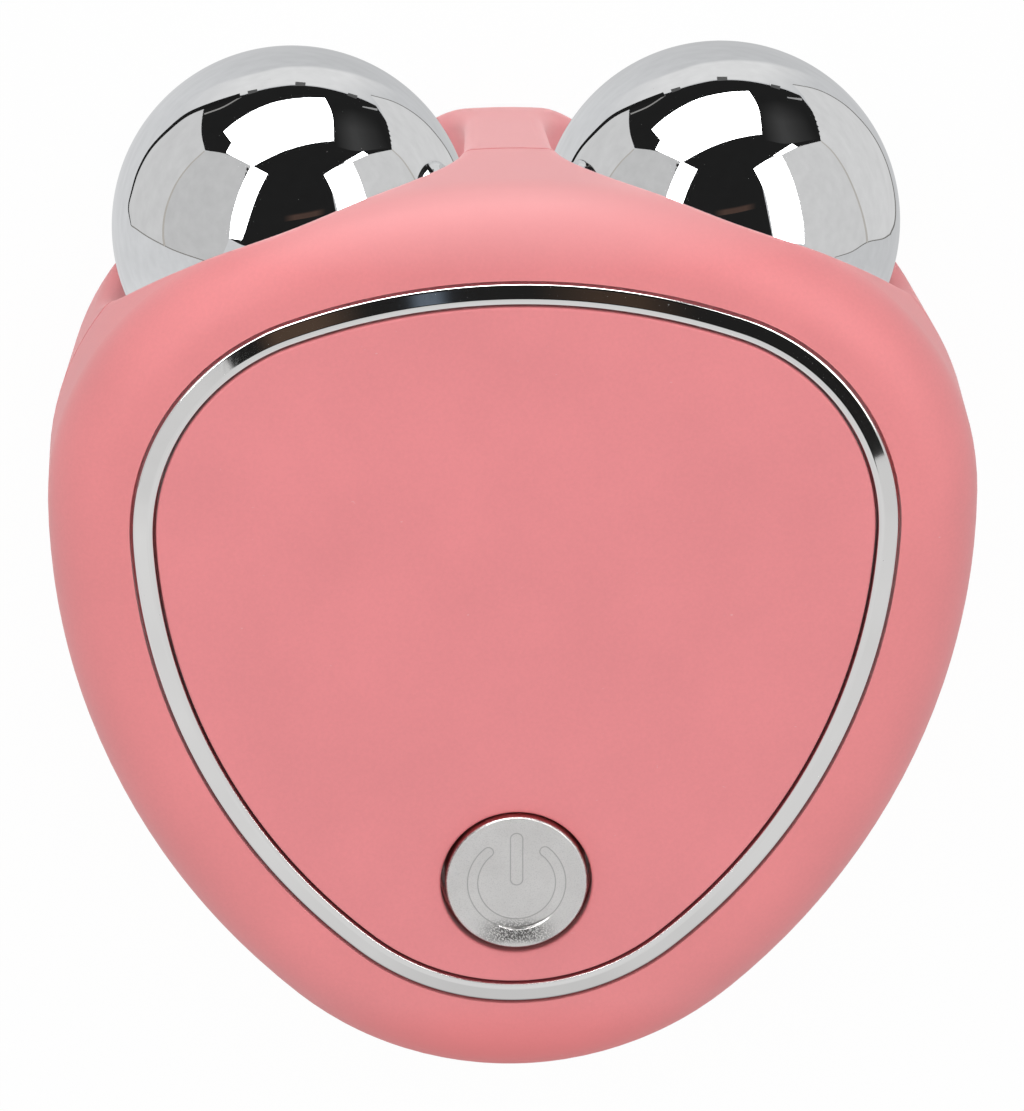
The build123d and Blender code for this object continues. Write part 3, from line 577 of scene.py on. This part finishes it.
def buttonMaterial():
    # satin cast face with the sign's fine line in painted shade, a grainier patch near its lower edge with
    # dark specks painted as reflections, a chipped bevel, and an upright wall with a painted reflection of
    # the casing in shade
    look = newMaterial("buttonMetal", (0.80, 0.79, 0.775), 0.3, 1.0)
    place = inMillimetres(look)
    middle = inMillimetres(look, location=(0, -button["y"], 0))
    side, y = sums(look, "ABSOLUTE", coordinate(look, middle, 0)), coordinate(look, middle, 1)
    flat = remap(look, faceUp(look), 0.92, 0.99)
    bevel = remap(look, faceUp(look), 0.9, 0.8)
    fine = noise(look, place, 0.07, 2.0)
    limits = ((side, "patchSide"), (y, "patchTop"), (y, "patchLow"))
    # a patch of coarser grain, where dark specks are also painted as reflections
    grainAndReflectionPatch = product(look, *[remap(look, value, *satin[limit]) for value, limit in limits], flat)
    ratio = addNode(look, "Attribute", attribute_name="fromSign").outputs["Fac"]
    specks = remap(look, noise(look, place, 0.10, 2.0), 0.40, 0.52)
    chips = remap(look, noise(look, place, 0.16, 2.0), 0.42, 0.56, 0.55, 1)
    # layers: grain, specks painted as reflections, chips, the wall's painted reflection and the line's
    # painted shade
    layers = {
        "grain": remap(look, fine, 0.5, 0.75, 0, 0.35),
        "specks": product(look, specks, grainAndReflectionPatch, 0.9),
        "chips": product(look, chips, bevel),
        "wall": upright(look),
        "groove": product(look, remap(look, ratio, 1.0, 0.15), flat, 0.6),
    }
    shown = tones(look, remap(look, noise(look, place, 2.2, 3.0), 0.3, 0.7), *satin["tones"])
    for layer, share in layers.items():
        shown = over(look, share, shown, satin[layer])
    connect(look, "Base Color", shown)
    connect(look, "Roughness", remap(look, flat, 0, 1, 0.30, 0.34))
    coarse = product(look, noise(look, place, 0.16, 3.0), sums(look, "ADD", grainAndReflectionPatch, 0.12))
    bumps(look, (product(look, fine, flat), 0.008), (coarse, 0.02))
    return look


points = powerButton()
powerCap = meshObject("powerCap", points, gridFaces(*points.shape[:2]))
coordinates = np.empty(len(powerCap.data.vertices) * 3)
powerCap.data.vertices.foreach_get("co", coordinates)
x, y, z = coordinates.reshape(-1, 3).T / mm
ratio = signGroove(x, y - button["y"])[0] + 9 * (z < panelTop)  # no line below the face
powerCap.data.attributes.new("fromSign", "FLOAT", "POINT").data.foreach_set("value", ratio)
powerCap.data.materials.append(buttonMaterial())
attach(powerCap, "power_button")
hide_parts("power_button")
print("power button done")

# roller balls

ball = {
    "radius": 11.75,
    "inner": 10.25,
    "bore": 2.6,  # radius of the bush's bore
    "hub": 4.3,
    "hubBack": -1.2,  # hub's end, along the shaft from the ball's centre
    "x": 14.0,
    "y": 21.25,
    "z": 13.3,
    "lean": 25.0,  # degrees between each shaft and +Y
    "turns": 288,
    "rows": (150, 60),  # outside and inside
}


def rollerBall(side):
    # one closed profile turned round the leaned shaft: outer sphere, rounded mouth, bore, hub and
    # inner sphere
    b = ball
    mouth = np.pi - np.arcsin((b["bore"] + 0.15) / b["radius"])
    a = np.linspace(0, mouth, b["rows"][0])
    outer = np.column_stack([b["radius"] * np.cos(a), b["radius"] * np.sin(a)])
    lip = -np.sqrt(b["radius"] ** 2 - b["bore"] ** 2)
    hubRoot = -np.sqrt(b["inner"] ** 2 - b["hub"] ** 2)
    bore = softCorners([
        outer[-1], (lip, b["bore"]), (b["hubBack"], b["bore"]), (b["hubBack"], b["hub"]), (hubRoot, b["hub"]),
    ], [0.0, 0.1, 0.1, 0.1, 0.0])
    back = np.linspace(np.pi - np.arcsin(b["hub"] / b["inner"]), 0, b["rows"][1])
    inside = np.column_stack([b["inner"] * np.cos(back), b["inner"] * np.sin(back)])
    profile = np.vstack([outer, bore[1:-1], inside])
    profile[[0, -1], 1] = 0.0
    lean = np.radians(b["lean"])
    axis = (side * np.sin(lean), np.cos(lean), 0.0)
    return turnProfile(profile, (side * b["x"], b["y"], b["z"]), axis, b["turns"])


ballChrome = chromeMaterial("ballChrome", (0.90, 0.905, 0.91), 0.018, 0.03)
for name, side in (("left", -1), ("right", 1)):
    points = rollerBall(side)
    piece = meshObject(name + "Ball", points, gridFaces(*points.shape[:2]))
    piece.data.materials.append(ballChrome)
    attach(piece, name + "_roller")
    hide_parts(name + "_roller_ball")
print("roller balls done")

# finishes of the parts inside


def brassMaterial():
    # turned brass with rings of tool marks and a dull film
    look = newMaterial("bushBrass", (0.78, 0.57, 0.26), 0.25, 1.0)
    turned = noise(look, inMillimetres(look, (1, 6, 1)), 0.5, 2.0)
    film = remap(look, noise(look, inMillimetres(look), 1.5, 4.0), 0.35, 0.7)
    connect(look, "Base Color", tones(look, film, (0.80, 0.60, 0.29), (0.62, 0.43, 0.19)))
    connect(look, "Roughness", remap(look, turned, 0.3, 0.7, 0.18, 0.36))
    bumps(look, (turned, 0.003))
    return look


def steelMaterial(name, colour, low, high, stretch):
    # bare or plated steel, its fine marks drawn out along one axis
    look = newMaterial(name, colour, low, 1.0)
    marks = noise(look, inMillimetres(look, stretch), 0.4, 3.0)
    stain = remap(look, noise(look, inMillimetres(look), 2.0, 3.0), 0.3, 0.7)
    base = np.array(colour)
    connect(look, "Base Color", tones(look, stain, base * 0.92, base * 1.06))
    connect(look, "Roughness", remap(look, marks, 0.3, 0.7, low, high))
    bumps(look, (marks, 0.002))
    return look


def mouldedMaterial(name, colour, roughness, grain, depth):
    # moulded plastic with a spark-eroded grain and slight flow marks
    look = newMaterial(name, colour, roughness, Specular_IOR_Level=0.45)
    flow = noise(look, inMillimetres(look, (1, 0.4, 1)), 3.0, 3.0)
    base = np.array(colour)
    connect(look, "Base Color", tones(look, remap(look, flow, 0.3, 0.7), base * 0.9, base * 1.08))
    connect(look, "Roughness", remap(look, flow, 0.3, 0.7, roughness - 0.06, roughness + 0.06))
    bumps(look, (noise(look, inMillimetres(look), grain, 2.0), depth))
    return look


def boardMaterial():
    # green solder resist over copper tracks, tinned pads and the laminate's bare edge
    look = newMaterial("circuitBoard", (0.02, 0.16, 0.07), 0.3)
    place = inMillimetres(look)
    cells = addNode(look, "TexBrick", {
        "Vector": place, "Scale": 0.35, "Mortar Size": 0.055, "Mortar Smooth": 0.2,
        "Color1": (0, 0, 0, 1), "Color2": (0, 0, 0, 1), "Mortar": (1, 1, 1, 1),
    }, offset=0.37).outputs[0]
    pads = remap(look, spots(look, place, 2.6), 0.17, 0.14)
    edge = remap(look, sums(look, "ABSOLUTE", faceUp(look)), 0.6, 0.4)
    base = tones(look, cells, (0.012, 0.13, 0.05), (0.03, 0.24, 0.09))
    base = over(look, pads, base, (0.72, 0.68, 0.55))
    connect(look, "Base Color", over(look, edge, base, (0.62, 0.55, 0.32)))
    connect(look, "Metallic", product(look, pads, 0.9))
    connect(look, "Roughness", remap(look, pads, 0, 1, 0.28, 0.38))
    bumps(look, (cells, 0.02), (noise(look, place, 0.3, 2.0), 0.002))
    return look


def ferriteMaterial():
    # dark sintered body with fine pits and a few paler chips
    look = newMaterial("ferriteGrey", (0.10, 0.10, 0.11), 0.6)
    place = inMillimetres(look)
    pits = spots(look, place, 0.25)
    chips = remap(look, noise(look, place, 0.9, 4.0), 0.62, 0.7)
    connect(look, "Base Color", tones(look, chips, (0.09, 0.09, 0.10), (0.20, 0.20, 0.21)))
    connect(look, "Roughness", remap(look, pits, 0.1, 0.6, 0.7, 0.5))
    bumps(look, (pits, 0.01))
    return look


def foilMaterial():
    # laminated pouch: soft creases, a matt silver skin and amber tape over the sealed end
    look = newMaterial("cellFoil", (0.72, 0.72, 0.74), 0.36, 1.0)
    crease = noise(look, inMillimetres(look, (1, 0.5, 1)), 2.4, 4.0)
    tape = remap(look, coordinate(look, inMillimetres(look), 1), -4.2, -4.0)
    silver = tones(look, remap(look, crease, 0.3, 0.7), (0.66, 0.66, 0.68), (0.78, 0.78, 0.80))
    connect(look, "Base Color", over(look, tape, silver, (0.75, 0.42, 0.06)))
    connect(look, "Metallic", sums(look, "SUBTRACT", 1.0, tape))
    connect(look, "Roughness", remap(look, crease, 0.3, 0.7, 0.3, 0.44))
    bumps(look, (crease, 0.05))
    return look


def foamMaterial():
    # closed-cell foam: small round cells, some of them open
    look = newMaterial("padFoam", (0.07, 0.07, 0.07), 0.9)
    cells = spots(look, inMillimetres(look), 0.35)
    shade = remap(look, cells, 0.0, 0.6)
    connect(look, "Base Color", tones(look, shade, (0.03, 0.03, 0.03), (0.12, 0.12, 0.12)))
    bumps(look, (cells, 0.06))
    return look


def leadMaterial(name, leftColour, rightColour):
    # silicone covering, one colour each side of the middle, with a soft bloom
    look = newMaterial(name, leftColour, 0.5)
    place = inMillimetres(look)
    onRight = sums(look, "GREATER_THAN", coordinate(look, place, 0), 0.0)
    bloom = remap(look, noise(look, place, 0.8, 3.0), 0.45, 0.75, 0, 0.18)
    shown = over(look, bloom, tones(look, onRight, leftColour, rightColour), (0.7, 0.66, 0.64))
    connect(look, "Base Color", shown)
    connect(look, "Roughness", remap(look, bloom, 0, 0.18, 0.42, 0.6))
    bumps(look, (noise(look, place, 0.12, 2.0), 0.004))
    return look


bushBrass = brassMaterial()
shaftSteel = steelMaterial("shaftSteel", (0.62, 0.62, 0.63), 0.14, 0.3, (1, 1, 5))
screwSteel = steelMaterial("screwSteel", (0.58, 0.58, 0.60), 0.25, 0.45, (1, 1, 3))
socketSteel = steelMaterial("socketSteel", (0.70, 0.70, 0.71), 0.2, 0.34, (4, 1, 4))
blackPlastic = mouldedMaterial("blackPlastic", (0.028, 0.028, 0.03), 0.42, 0.12, 0.006)
whitePlastic = mouldedMaterial("whitePlastic", (0.76, 0.75, 0.72), 0.45, 0.18, 0.006)
circuitBoard = boardMaterial()
ferriteGrey = ferriteMaterial()
cellFoil = foilMaterial()
padFoam = foamMaterial()
batteryLead = leadMaterial("batteryLead", (0.02, 0.02, 0.022), (0.60, 0.03, 0.03))
electrodeLead = leadMaterial("electrodeLead", (0.05, 0.10, 0.42), (0.70, 0.62, 0.05))

innerFinish = {
    "switch_body": blackPlastic,
    "switch_plunger": whitePlastic,
    "main_board": circuitBoard,
    "controller_chip": blackPlastic,
    "boost_coil": ferriteGrey,
    "board_parts": ferriteGrey,
    "usb_socket": socketSteel,
    "usb_tongue": blackPlastic,
    "battery_pad": padFoam,
    "battery_cell": cellFoil,
    "battery_connector": whitePlastic,
    "battery_leads": batteryLead,
    "roller_carrier": whitePlastic,
    "carrier_screws": screwSteel,
    "shell_screws": screwSteel,
    "roller_bush": bushBrass,
    "roller_shaft": shaftSteel,
    "shaft_clip": screwSteel,
    "thrust_washer": whitePlastic,
    "contact_tab": bushBrass,
    "shaft_nut": screwSteel,
    "electrode_lead": electrodeLead,
}
for name, node in nodes.items():
    plain = name.replace("left_", "").replace("right_", "")
    if plain in innerFinish:
        node.data.materials.clear()
        node.data.materials.append(innerFinish[plain])
        node.visible_glossy = False
print("inner parts finished")

# floor, lamps and the studio tent that the chrome mirrors

light = {
    "ambient": 0.635,
    "lampPower": 0.57,
    "lampPlace": (-0.03, 0.24, 0.33),
    "lampSize": 0.30,
    "fillPower": 0.10,
    "fillPlace": (0.20, -0.35, 0.30),
    "fillSize": 0.40,
    "floorHalf": 15000.0,
    "floorGrey": (0.86, 0.86, 0.86, 1),
    "floorWhite": 0.97,  # share of plain white that the camera sees in the floor
}


def emptyMaterial(name):
    # a material with no nodes in it yet
    look = bpy.data.materials.new(name)
    look.use_nodes = True
    look.node_tree.nodes.clear()
    return look


def emission(look, colour, strength):
    # plain light of a colour
    return addNode(look, "Emission", {"Color": (*colour, 1.0), "Strength": strength}).outputs[0]


def blend(look, share, first, second):
    # a mix of two shaders by a share
    return addNode(look, "MixShader", {0: share, 1: first, 2: second}).outputs[0]


def floorMaterial():
    # pale floor that keeps the shadow, near white to the camera, clear from below
    look = emptyMaterial("paleFloor")
    seen = addNode(look, "LightPath").outputs["Is Camera Ray"]
    diffuse = addNode(look, "BsdfDiffuse", {"Color": light["floorGrey"]}).outputs[0]
    white = emission(look, (1, 1, 1), 1.0)
    plain = blend(look, product(look, seen, light["floorWhite"]), diffuse, white)
    clear = addNode(look, "BsdfTransparent").outputs[0]
    back = addNode(look, "NewGeometry").outputs["Backfacing"]
    addNode(look, "OutputMaterial", {"Surface": blend(look, back, plain, clear)})
    return look


floorPoints = np.array([[-1, -1, 0], [1, -1, 0], [1, 1, 0], [-1, 1, 0]]) * light["floorHalf"]
floor = meshObject("floor", floorPoints, np.array([[0, 1, 2, 3]]))
if floor.data.polygons[0].normal[2] < 0:
    floor.data.flip_normals()
floor.data.materials.append(floorMaterial())
floor.visible_glossy = False

world = bpy.data.worlds.new("studio")
bpy.context.scene.world = world
world.use_nodes = True
world.node_tree.nodes.clear()
seen = addNode(world, "LightPath").outputs["Is Camera Ray"]
ambient, white = [
    addNode(world, "Background", {"Color": (1, 1, 1, 1), "Strength": strength}).outputs[0]
    for strength in (light["ambient"], 1.0)
]
addNode(world, "OutputWorld", {"Surface": blend(world, seen, ambient, white)})


def addLamp(name, power, place, size):
    # square area lamp aimed at the middle of the face, unseen in the chrome, which mirrors the tent
    data = bpy.data.lights.new(name, "AREA")
    data.energy, data.shape, data.size = power, "SQUARE", size
    lamp = bpy.data.objects.new(name, data)
    bpy.context.scene.collection.objects.link(lamp)
    back = Vector(place) - Vector((0, 0, 0.03))
    lamp.location = place
    lamp.rotation_mode = "QUATERNION"
    lamp.rotation_quaternion = back.to_track_quat("Z", "Y")
    lamp.visible_glossy = False
    lamp.visible_camera = False


addLamp("mainLamp", light["lampPower"], light["lampPlace"], light["lampSize"])
addLamp("fillLamp", light["fillPower"], light["fillPlace"], light["fillSize"])

tent = {
    "radius": 950,
    "rows": 33,
    "turns": 64,
    "greyCards": 840,  # distances from the middle of what hangs before the cloth
    "otherCards": 800,
    "seams": 790,
    "tone": 0.625,
    "slope": -0.05,  # change of tone from the middle to the right
    "colour": (0.985, 0.995, 1.01),
    # bands of the cloth, each from one height on the mirror ball to another and its change of tone
    "bands": [(0.70, 0.95, -0.055), (-0.22, -0.36, 0.07), (-0.50, -0.85, -0.40)],
    "cloudSize": 90.0,
    "uneven": (0.96, 1.04),  # how the clouds change the brightness of cloth, cards and seams
}
cardRows, cardColumns, seamPoints = 17, 41, 49

tentCentre = np.array([0.0, ball["y"], ball["z"]])
# lines that more than one card or seam follows, as (right, up) places on a mirror ball, in thousandths
# of its radius
leftLine = [(-470, 389), (-548, 317), (-613, 233), (-659, 141), (-687, 48), (-696, -44), (-691, -109)]
rightLine = [(544, 420), (605, 364), (670, 271), (725, 160), (768, 48), (794, -45), (803, -104)]
rimLine = [(405, 728), (531, 705), (642, 655), (735, 585), (827, 484), (892, 372), (936, 250), (957, 141),
           (957, 48), (935, -26)]
tentCards = {
    # brightness and the two smooth edges of each card, as such places, with its two other edges where
    # they aren't straight, its colour where it isn't white, and the shares of it over which it fades in
    # from its first edge and from both ends
    "opening": {
        "brightness": 0.0145,
        "first": [(-482, 630), (-381, 669), (-270, 697), (-159, 730), (-48, 752), (26, 757), (137, 751),
                  (248, 731), (359, 700), (440, 668)],
        "second": [(-467, 393), (-344, 368), (-215, 305), (-120, 260), (50, 250), (174, 261), (285, 333),
                   (340, 352), (419, 383), (544, 420)],
        "start": [(-482, 630), (-490, 548), (-487, 474), (-467, 393)],
        "end": [(440, 668), (505, 576), (535, 493), (544, 420)],
    },
    "openingHaze": {
        "brightness": 0.05,
        "first": [(200, 620), (300, 640), (440, 620)],
        "second": [(240, 420), (360, 400), (530, 430)],
        "fade": (0.5, 0.45),
    },
    "openingLow": {
        "brightness": 0.0145,
        "first": [(-240, 300), (-120, 270), (50, 270), (200, 280)],
        "second": [(-330, -90), (-260, -125), (-200, -130), (-150, -145), (-110, -180), (-50, -215),
                   (50, -235), (150, -255), (240, -300), (310, -250)],
    },
    "lowBrown": {
        "brightness": 0.07,
        "colour": (1.0, 0.62, 0.50),
        "first": [(-40, 35), (80, 55), (190, 80)],
        "second": [(-40, 0), (80, 20), (190, 45)],
        "fade": (0.3, 0.25),
    },
    "rimBrown": {
        "brightness": 0.075,
        "colour": (1.0, 0.66, 0.48),
        "first": [(-100, -100), (-65, -95), (-30, -90)],
        "second": [(-100, -155), (-65, -150), (-30, -145)],
        "fade": (0.2, 0.3),
    },
    "rimBrownRight": {
        "brightness": 0.055,
        "colour": (1.0, 0.66, 0.48),
        "first": [(45, -90), (85, -100), (120, -115)],
        "second": [(45, -145), (85, -150), (120, -170)],
        "fade": (0.2, 0.4),
    },
    "rimBlue": {
        "brightness": 0.22,
        "colour": (0.62, 0.78, 1.0),
        "first": [(-14, -105), (6, -105)],
        "second": [(-6, -135), (12, -135)],
        "fade": (0.3, 0.3),
    },
    "softBox": {
        "brightness": 6.5,
        "first": [(-370, 494), (-307, 548), (-215, 607), (-122, 650), (-30, 674), (63, 687), (165, 691)],
        "second": [(-200, 308), (-122, 350), (-48, 385), (44, 417), (137, 439), (226, 452)],
        "start": [(-370, 494), (-322, 430), (-262, 369), (-200, 308)],
        "end": [(165, 691), (198, 631), (217, 567), (226, 452)],
    },
    "softFoot": {
        "brightness": 6.5,
        "first": [(-324, 432), (-354, 378)],
        "second": [(-180, 330), (-210, 303)],
    },
    "leftBar": {
        "brightness": 6.5,
        "first": [(-215, 307), (-252, 233), (-289, 141), (-320, 30), (-335, -85)],
        "second": [(-128, 261), (-178, 159), (-219, 48), (-252, -54), (-270, -96)],
    },
    "rightBar": {
        "brightness": 6.5,
        "first": [(178, 261), (210, 200), (240, 130), (263, 30), (282, -72), (290, -130)],
        "second": [(327, 340), (375, 240), (415, 120), (437, 20), (449, -50), (453, -140)],
        "start": [(178, 261), (248, 307), (327, 340)],
    },
    "rightTip": {
        "brightness": 6.5,
        "first": [(285, 333), (387, 400)],
        "second": [(330, 340), (415, 383)],
    },
    "leftOuter": {
        "brightness": 0.625,
        "first": [(-478, 630), (-567, 585), (-670, 505), (-765, 410), (-830, 300), (-868, 190),
                  (-885, 110), (-872, 20)],
        "second": leftLine,
        "start": [(-478, 630), (-490, 548), (-487, 474), (-470, 389)],
        "end": [(-872, 20), (-789, -48), (-691, -109)],
    },
    "leftInner": {
        "brightness": 0.552,
        "first": leftLine,
        "second": [(-215, 307), (-252, 233), (-289, 141), (-320, 30), (-335, -85), (-400, -225)],
        "start": [(-470, 389), (-354, 374), (-215, 307)],
        "end": [(-691, -109), (-604, -152), (-483, -198), (-400, -225)],
    },
    "rightInner": {
        "brightness": 0.632,
        "first": [(320, 336), (375, 240), (415, 120), (437, 20), (449, -50), (470, -240)],
        "second": rightLine,
        "start": [(320, 336), (419, 383), (544, 420)],
        "end": [(470, -240), (623, -202), (716, -165), (803, -104)],
    },
    "rightOuter": {
        "brightness": 0.675,
        "first": rimLine,
        "second": rightLine,
        "start": [(405, 728), (460, 660), (510, 560), (544, 420)],
        "end": [(935, -26), (890, -68), (803, -104)],
    },
    "topBand": {
        "brightness": 0.76,
        "first": [(-600, 660), (-450, 745), (-332, 790), (-211, 827), (-82, 861), (-7, 870), (104, 874),
                  (252, 861), (364, 837), (475, 800), (568, 753)],
        "second": [(-600, 600), (-482, 640), (-381, 675), (-270, 700), (-159, 735), (-48, 757), (26, 762),
                   (137, 756), (248, 737), (359, 706), (450, 670)],
        "fade": (0.10, 0.26),
    },
}
tentSeams = {
    # brightness and colour of each seam, its half widths at the start and end, and the line it follows
    "leftWedge": (0.012, (1, 1, 1), 0.0125, 0.0015,
                  [(-290, 693), (-437, 646), (-567, 594), (-670, 515), (-765, 420), (-830, 310),
                   (-868, 200), (-887, 120), (-875, 25)]),
    "leftFoot": (0.24, (1, 0.96, 0.9), 0.0028, 0.0028,
                 [(-875, 25), (-789, -46), (-691, -107), (-604, -150), (-483, -196), (-400, -225)]),
    "leftSeam": (0.47, (1, 0.95, 0.88), 0.003, 0.006, leftLine),
    "rightRim": (0.21, (1, 0.98, 0.95), 0.0022, 0.0035, rimLine),
    "rightFoot": (0.2, (1, 0.97, 0.92), 0.003, 0.002,
                  [(935, -26), (890, -68), (803, -104), (716, -165), (623, -202)]),
    "rightSeam": (0.48, (1, 0.96, 0.9), 0.003, 0.006, rightLine),
    "strip": (0.30, (1, 0.98, 0.95), 0.004, 0.003, [(-478, 592), (-380, 628), (-285, 685)]),
    "clampMiddle": (0.12, (1, 1, 1), 0.012, 0.010, [(0, 765), (55, 765)]),
    "clampLeft": (0.10, (1, 1, 1), 0.010, 0.008, [(-250, 708), (-200, 722)]),
    "clampRight": (0.10, (1, 1, 1), 0.008, 0.010, [(285, 722), (335, 708)]),
    "clampEdge": (0.34, (1, 1, 1), 0.003, 0.006, [(370, 655), (450, 645)]),
}


def finer(edge, count):
    # a smooth curve through the points b, c with neighbours a, d, run by run:
    # (2b + (c - a) t + (2a - 5b + 4c - d) t^2 + (3b - a - 3c + d) t^3) / 2
    p = np.asarray(edge, float)
    p = np.vstack([2 * p[0] - p[1], p, 2 * p[-1] - p[-2]])
    along = np.linspace(0, len(edge) - 1, count)
    k = np.minimum(along.astype(int), len(edge) - 2)
    t = (along - k)[:, None]
    a, b, c, d = p[k], p[k + 1], p[k + 2], p[k + 3]
    return (2 * b + (c - a) * t + (2 * a - 5 * b + 4 * c - d) * t**2 + (3 * b - a - 3 * c + d) * t**3) / 2


def mirrored(uv, distance):
    # places on a mirror ball sent out along the mirrored directions
    # 2 u w right + 2 v w up + (2 w^2 - 1) towards, with w^2 = 1 - u^2 - v^2
    u, v = uv[..., :1], uv[..., 1:]
    w = np.sqrt(np.clip(1 - u * u - v * v, 0, 1))
    return tentCentre + distance * (2 * u * w * right + 2 * v * w * up + (2 * w * w - 1) * towards)


def patch(first, second, start=None, end=None):
    # a patch between four edges: (1 - s) first + s second + (1 - t) start + t end, less
    # the same mix of the four corners
    first, second = finer(first, cardColumns), finer(second, cardColumns)
    start = finer([first[0], second[0]] if start is None else start, cardRows)
    end = finer([first[-1], second[-1]] if end is None else end, cardRows)
    s, t = np.linspace(0, 1, cardRows)[:, None, None], np.linspace(0, 1, cardColumns)[None, :, None]
    corners = (1 - s) * ((1 - t) * first[0] + t * first[-1]) + s * ((1 - t) * second[0] + t * second[-1])
    return (1 - s) * first[None] + s * second[None] + (1 - t) * start[:, None] + t * end[:, None] - corners


def mirrorPlace(look):
    # the (right, up) place on the mirror ball that a point of the tent is seen at: its direction d
    # from the middle of the tent gives (d . right, d . up) / (2 w), with w^2 = (1 + d . towards) / 2,
    # kept a little above zero
    place = addNode(look, "TexCoord").outputs["Object"]
    middle = tuple(tentCentre * mm)
    way = addNode(look, "VectorMath", {0: place, 1: middle}, operation="SUBTRACT").outputs[0]
    way = addNode(look, "VectorMath", {0: way}, operation="NORMALIZE").outputs[0]
    a, b, c = [
        addNode(look, "VectorMath", {0: way, 1: tuple(axis)}, operation="DOT_PRODUCT").outputs[1]
        for axis in (right, up, towards)
    ]
    twice = sums(look, "SQRT", sums(look, "MULTIPLY_ADD", c, 2.0, 2.002))
    return sums(look, "DIVIDE", a, twice), sums(look, "DIVIDE", b, twice)


def glow(name, colour, strength, share=None):
    # plain light of a colour, a little uneven; its strength is a number or a function of the material,
    # and share names the attribute by which it is laid over clear
    look = emptyMaterial(name)
    cloud = noise(look, inMillimetres(look), tent["cloudSize"], 3.0)
    even = remap(look, cloud, 0.3, 0.7, *tent["uneven"])
    strength = strength(look) if callable(strength) else strength
    shown = emission(look, colour, product(look, even, strength))
    if share:
        clear = addNode(look, "BsdfTransparent").outputs[0]
        part = addNode(look, "Attribute", attribute_name=share).outputs["Fac"]
        shown = blend(look, part, clear, shown)
    addNode(look, "OutputMaterial", {"Surface": shown})
    look.cycles.emission_sampling = "NONE"
    return look


def mirrorOnly(piece, look):
    # stage piece that only mirrors see: no light on the object, no shadow, not in the camera
    piece.data.materials.append(look)
    piece.visible_camera = piece.visible_diffuse = piece.visible_shadow = False
    piece.visible_transmission = piece.visible_volume_scatter = False


def tentTone(look):
    # grey cloth: tone + slope * right, with the bands' changes added by the height on the mirror ball
    u, v = mirrorPlace(look)
    tone = sums(look, "MULTIPLY_ADD", u, tent["slope"], tent["tone"])
    for low, high, change in tent["bands"]:
        tone = sums(look, "ADD", tone, remap(look, v, low, high, 0, change))
    return tone


halfTurn = np.linspace(0, np.pi, tent["rows"])
profile = np.stack([np.cos(halfTurn), np.sin(halfTurn)], -1) * tent["radius"]
profile[[0, -1], 1] = 0.0
points = turnProfile(profile, tentCentre, (0, 0, 1), tent["turns"])
cloth = meshObject("tentCloth", points, gridFaces(*points.shape[:2]))
mirrorOnly(cloth, glow("tentCloth", tent["colour"], tentTone))

for name, card in tentCards.items():
    grey = card["brightness"] < 1 and "fade" not in card
    edges = {key: np.array(card[key]) / 1000 for key in ("first", "second", "start", "end") if key in card}
    points = mirrored(patch(**edges), tent["greyCards" if grey else "otherCards"])
    piece = meshObject(name, points, gridFaces(*points.shape[:2], closeColumns=False))
    if "fade" in card:
        s, t = np.linspace(0, 1, cardRows)[:, None], np.linspace(0, 1, cardColumns)[None]
        share = ramp(s, 0, card["fade"][0]) * ramp(np.minimum(t, 1 - t), 0, card["fade"][1])
        piece.data.attributes.new("share", "FLOAT", "POINT").data.foreach_set("value", share.ravel())
    share = "share" if "fade" in card else None
    mirrorOnly(piece, glow(name, card.get("colour", (1, 1, 1)), card["brightness"], share))
for name, (brightness, colour, startHalf, endHalf, line) in tentSeams.items():
    # a strip of line - across to line + across, where across is the line's normal times its half width
    line = finer(np.array(line) / 1000, seamPoints)
    step = np.gradient(line, axis=0)
    half = np.linspace(startHalf, endHalf, seamPoints)[:, None]
    across = np.stack([-step[:, 1], step[:, 0]], -1) / np.linalg.norm(step, axis=1, keepdims=True) * half
    points = mirrored(np.stack([line - across, line + across]), tent["seams"])
    piece = meshObject(name, points, gridFaces(*points.shape[:2], closeColumns=False))
    mirrorOnly(piece, glow(name, colour, brightness))
print("studio done")
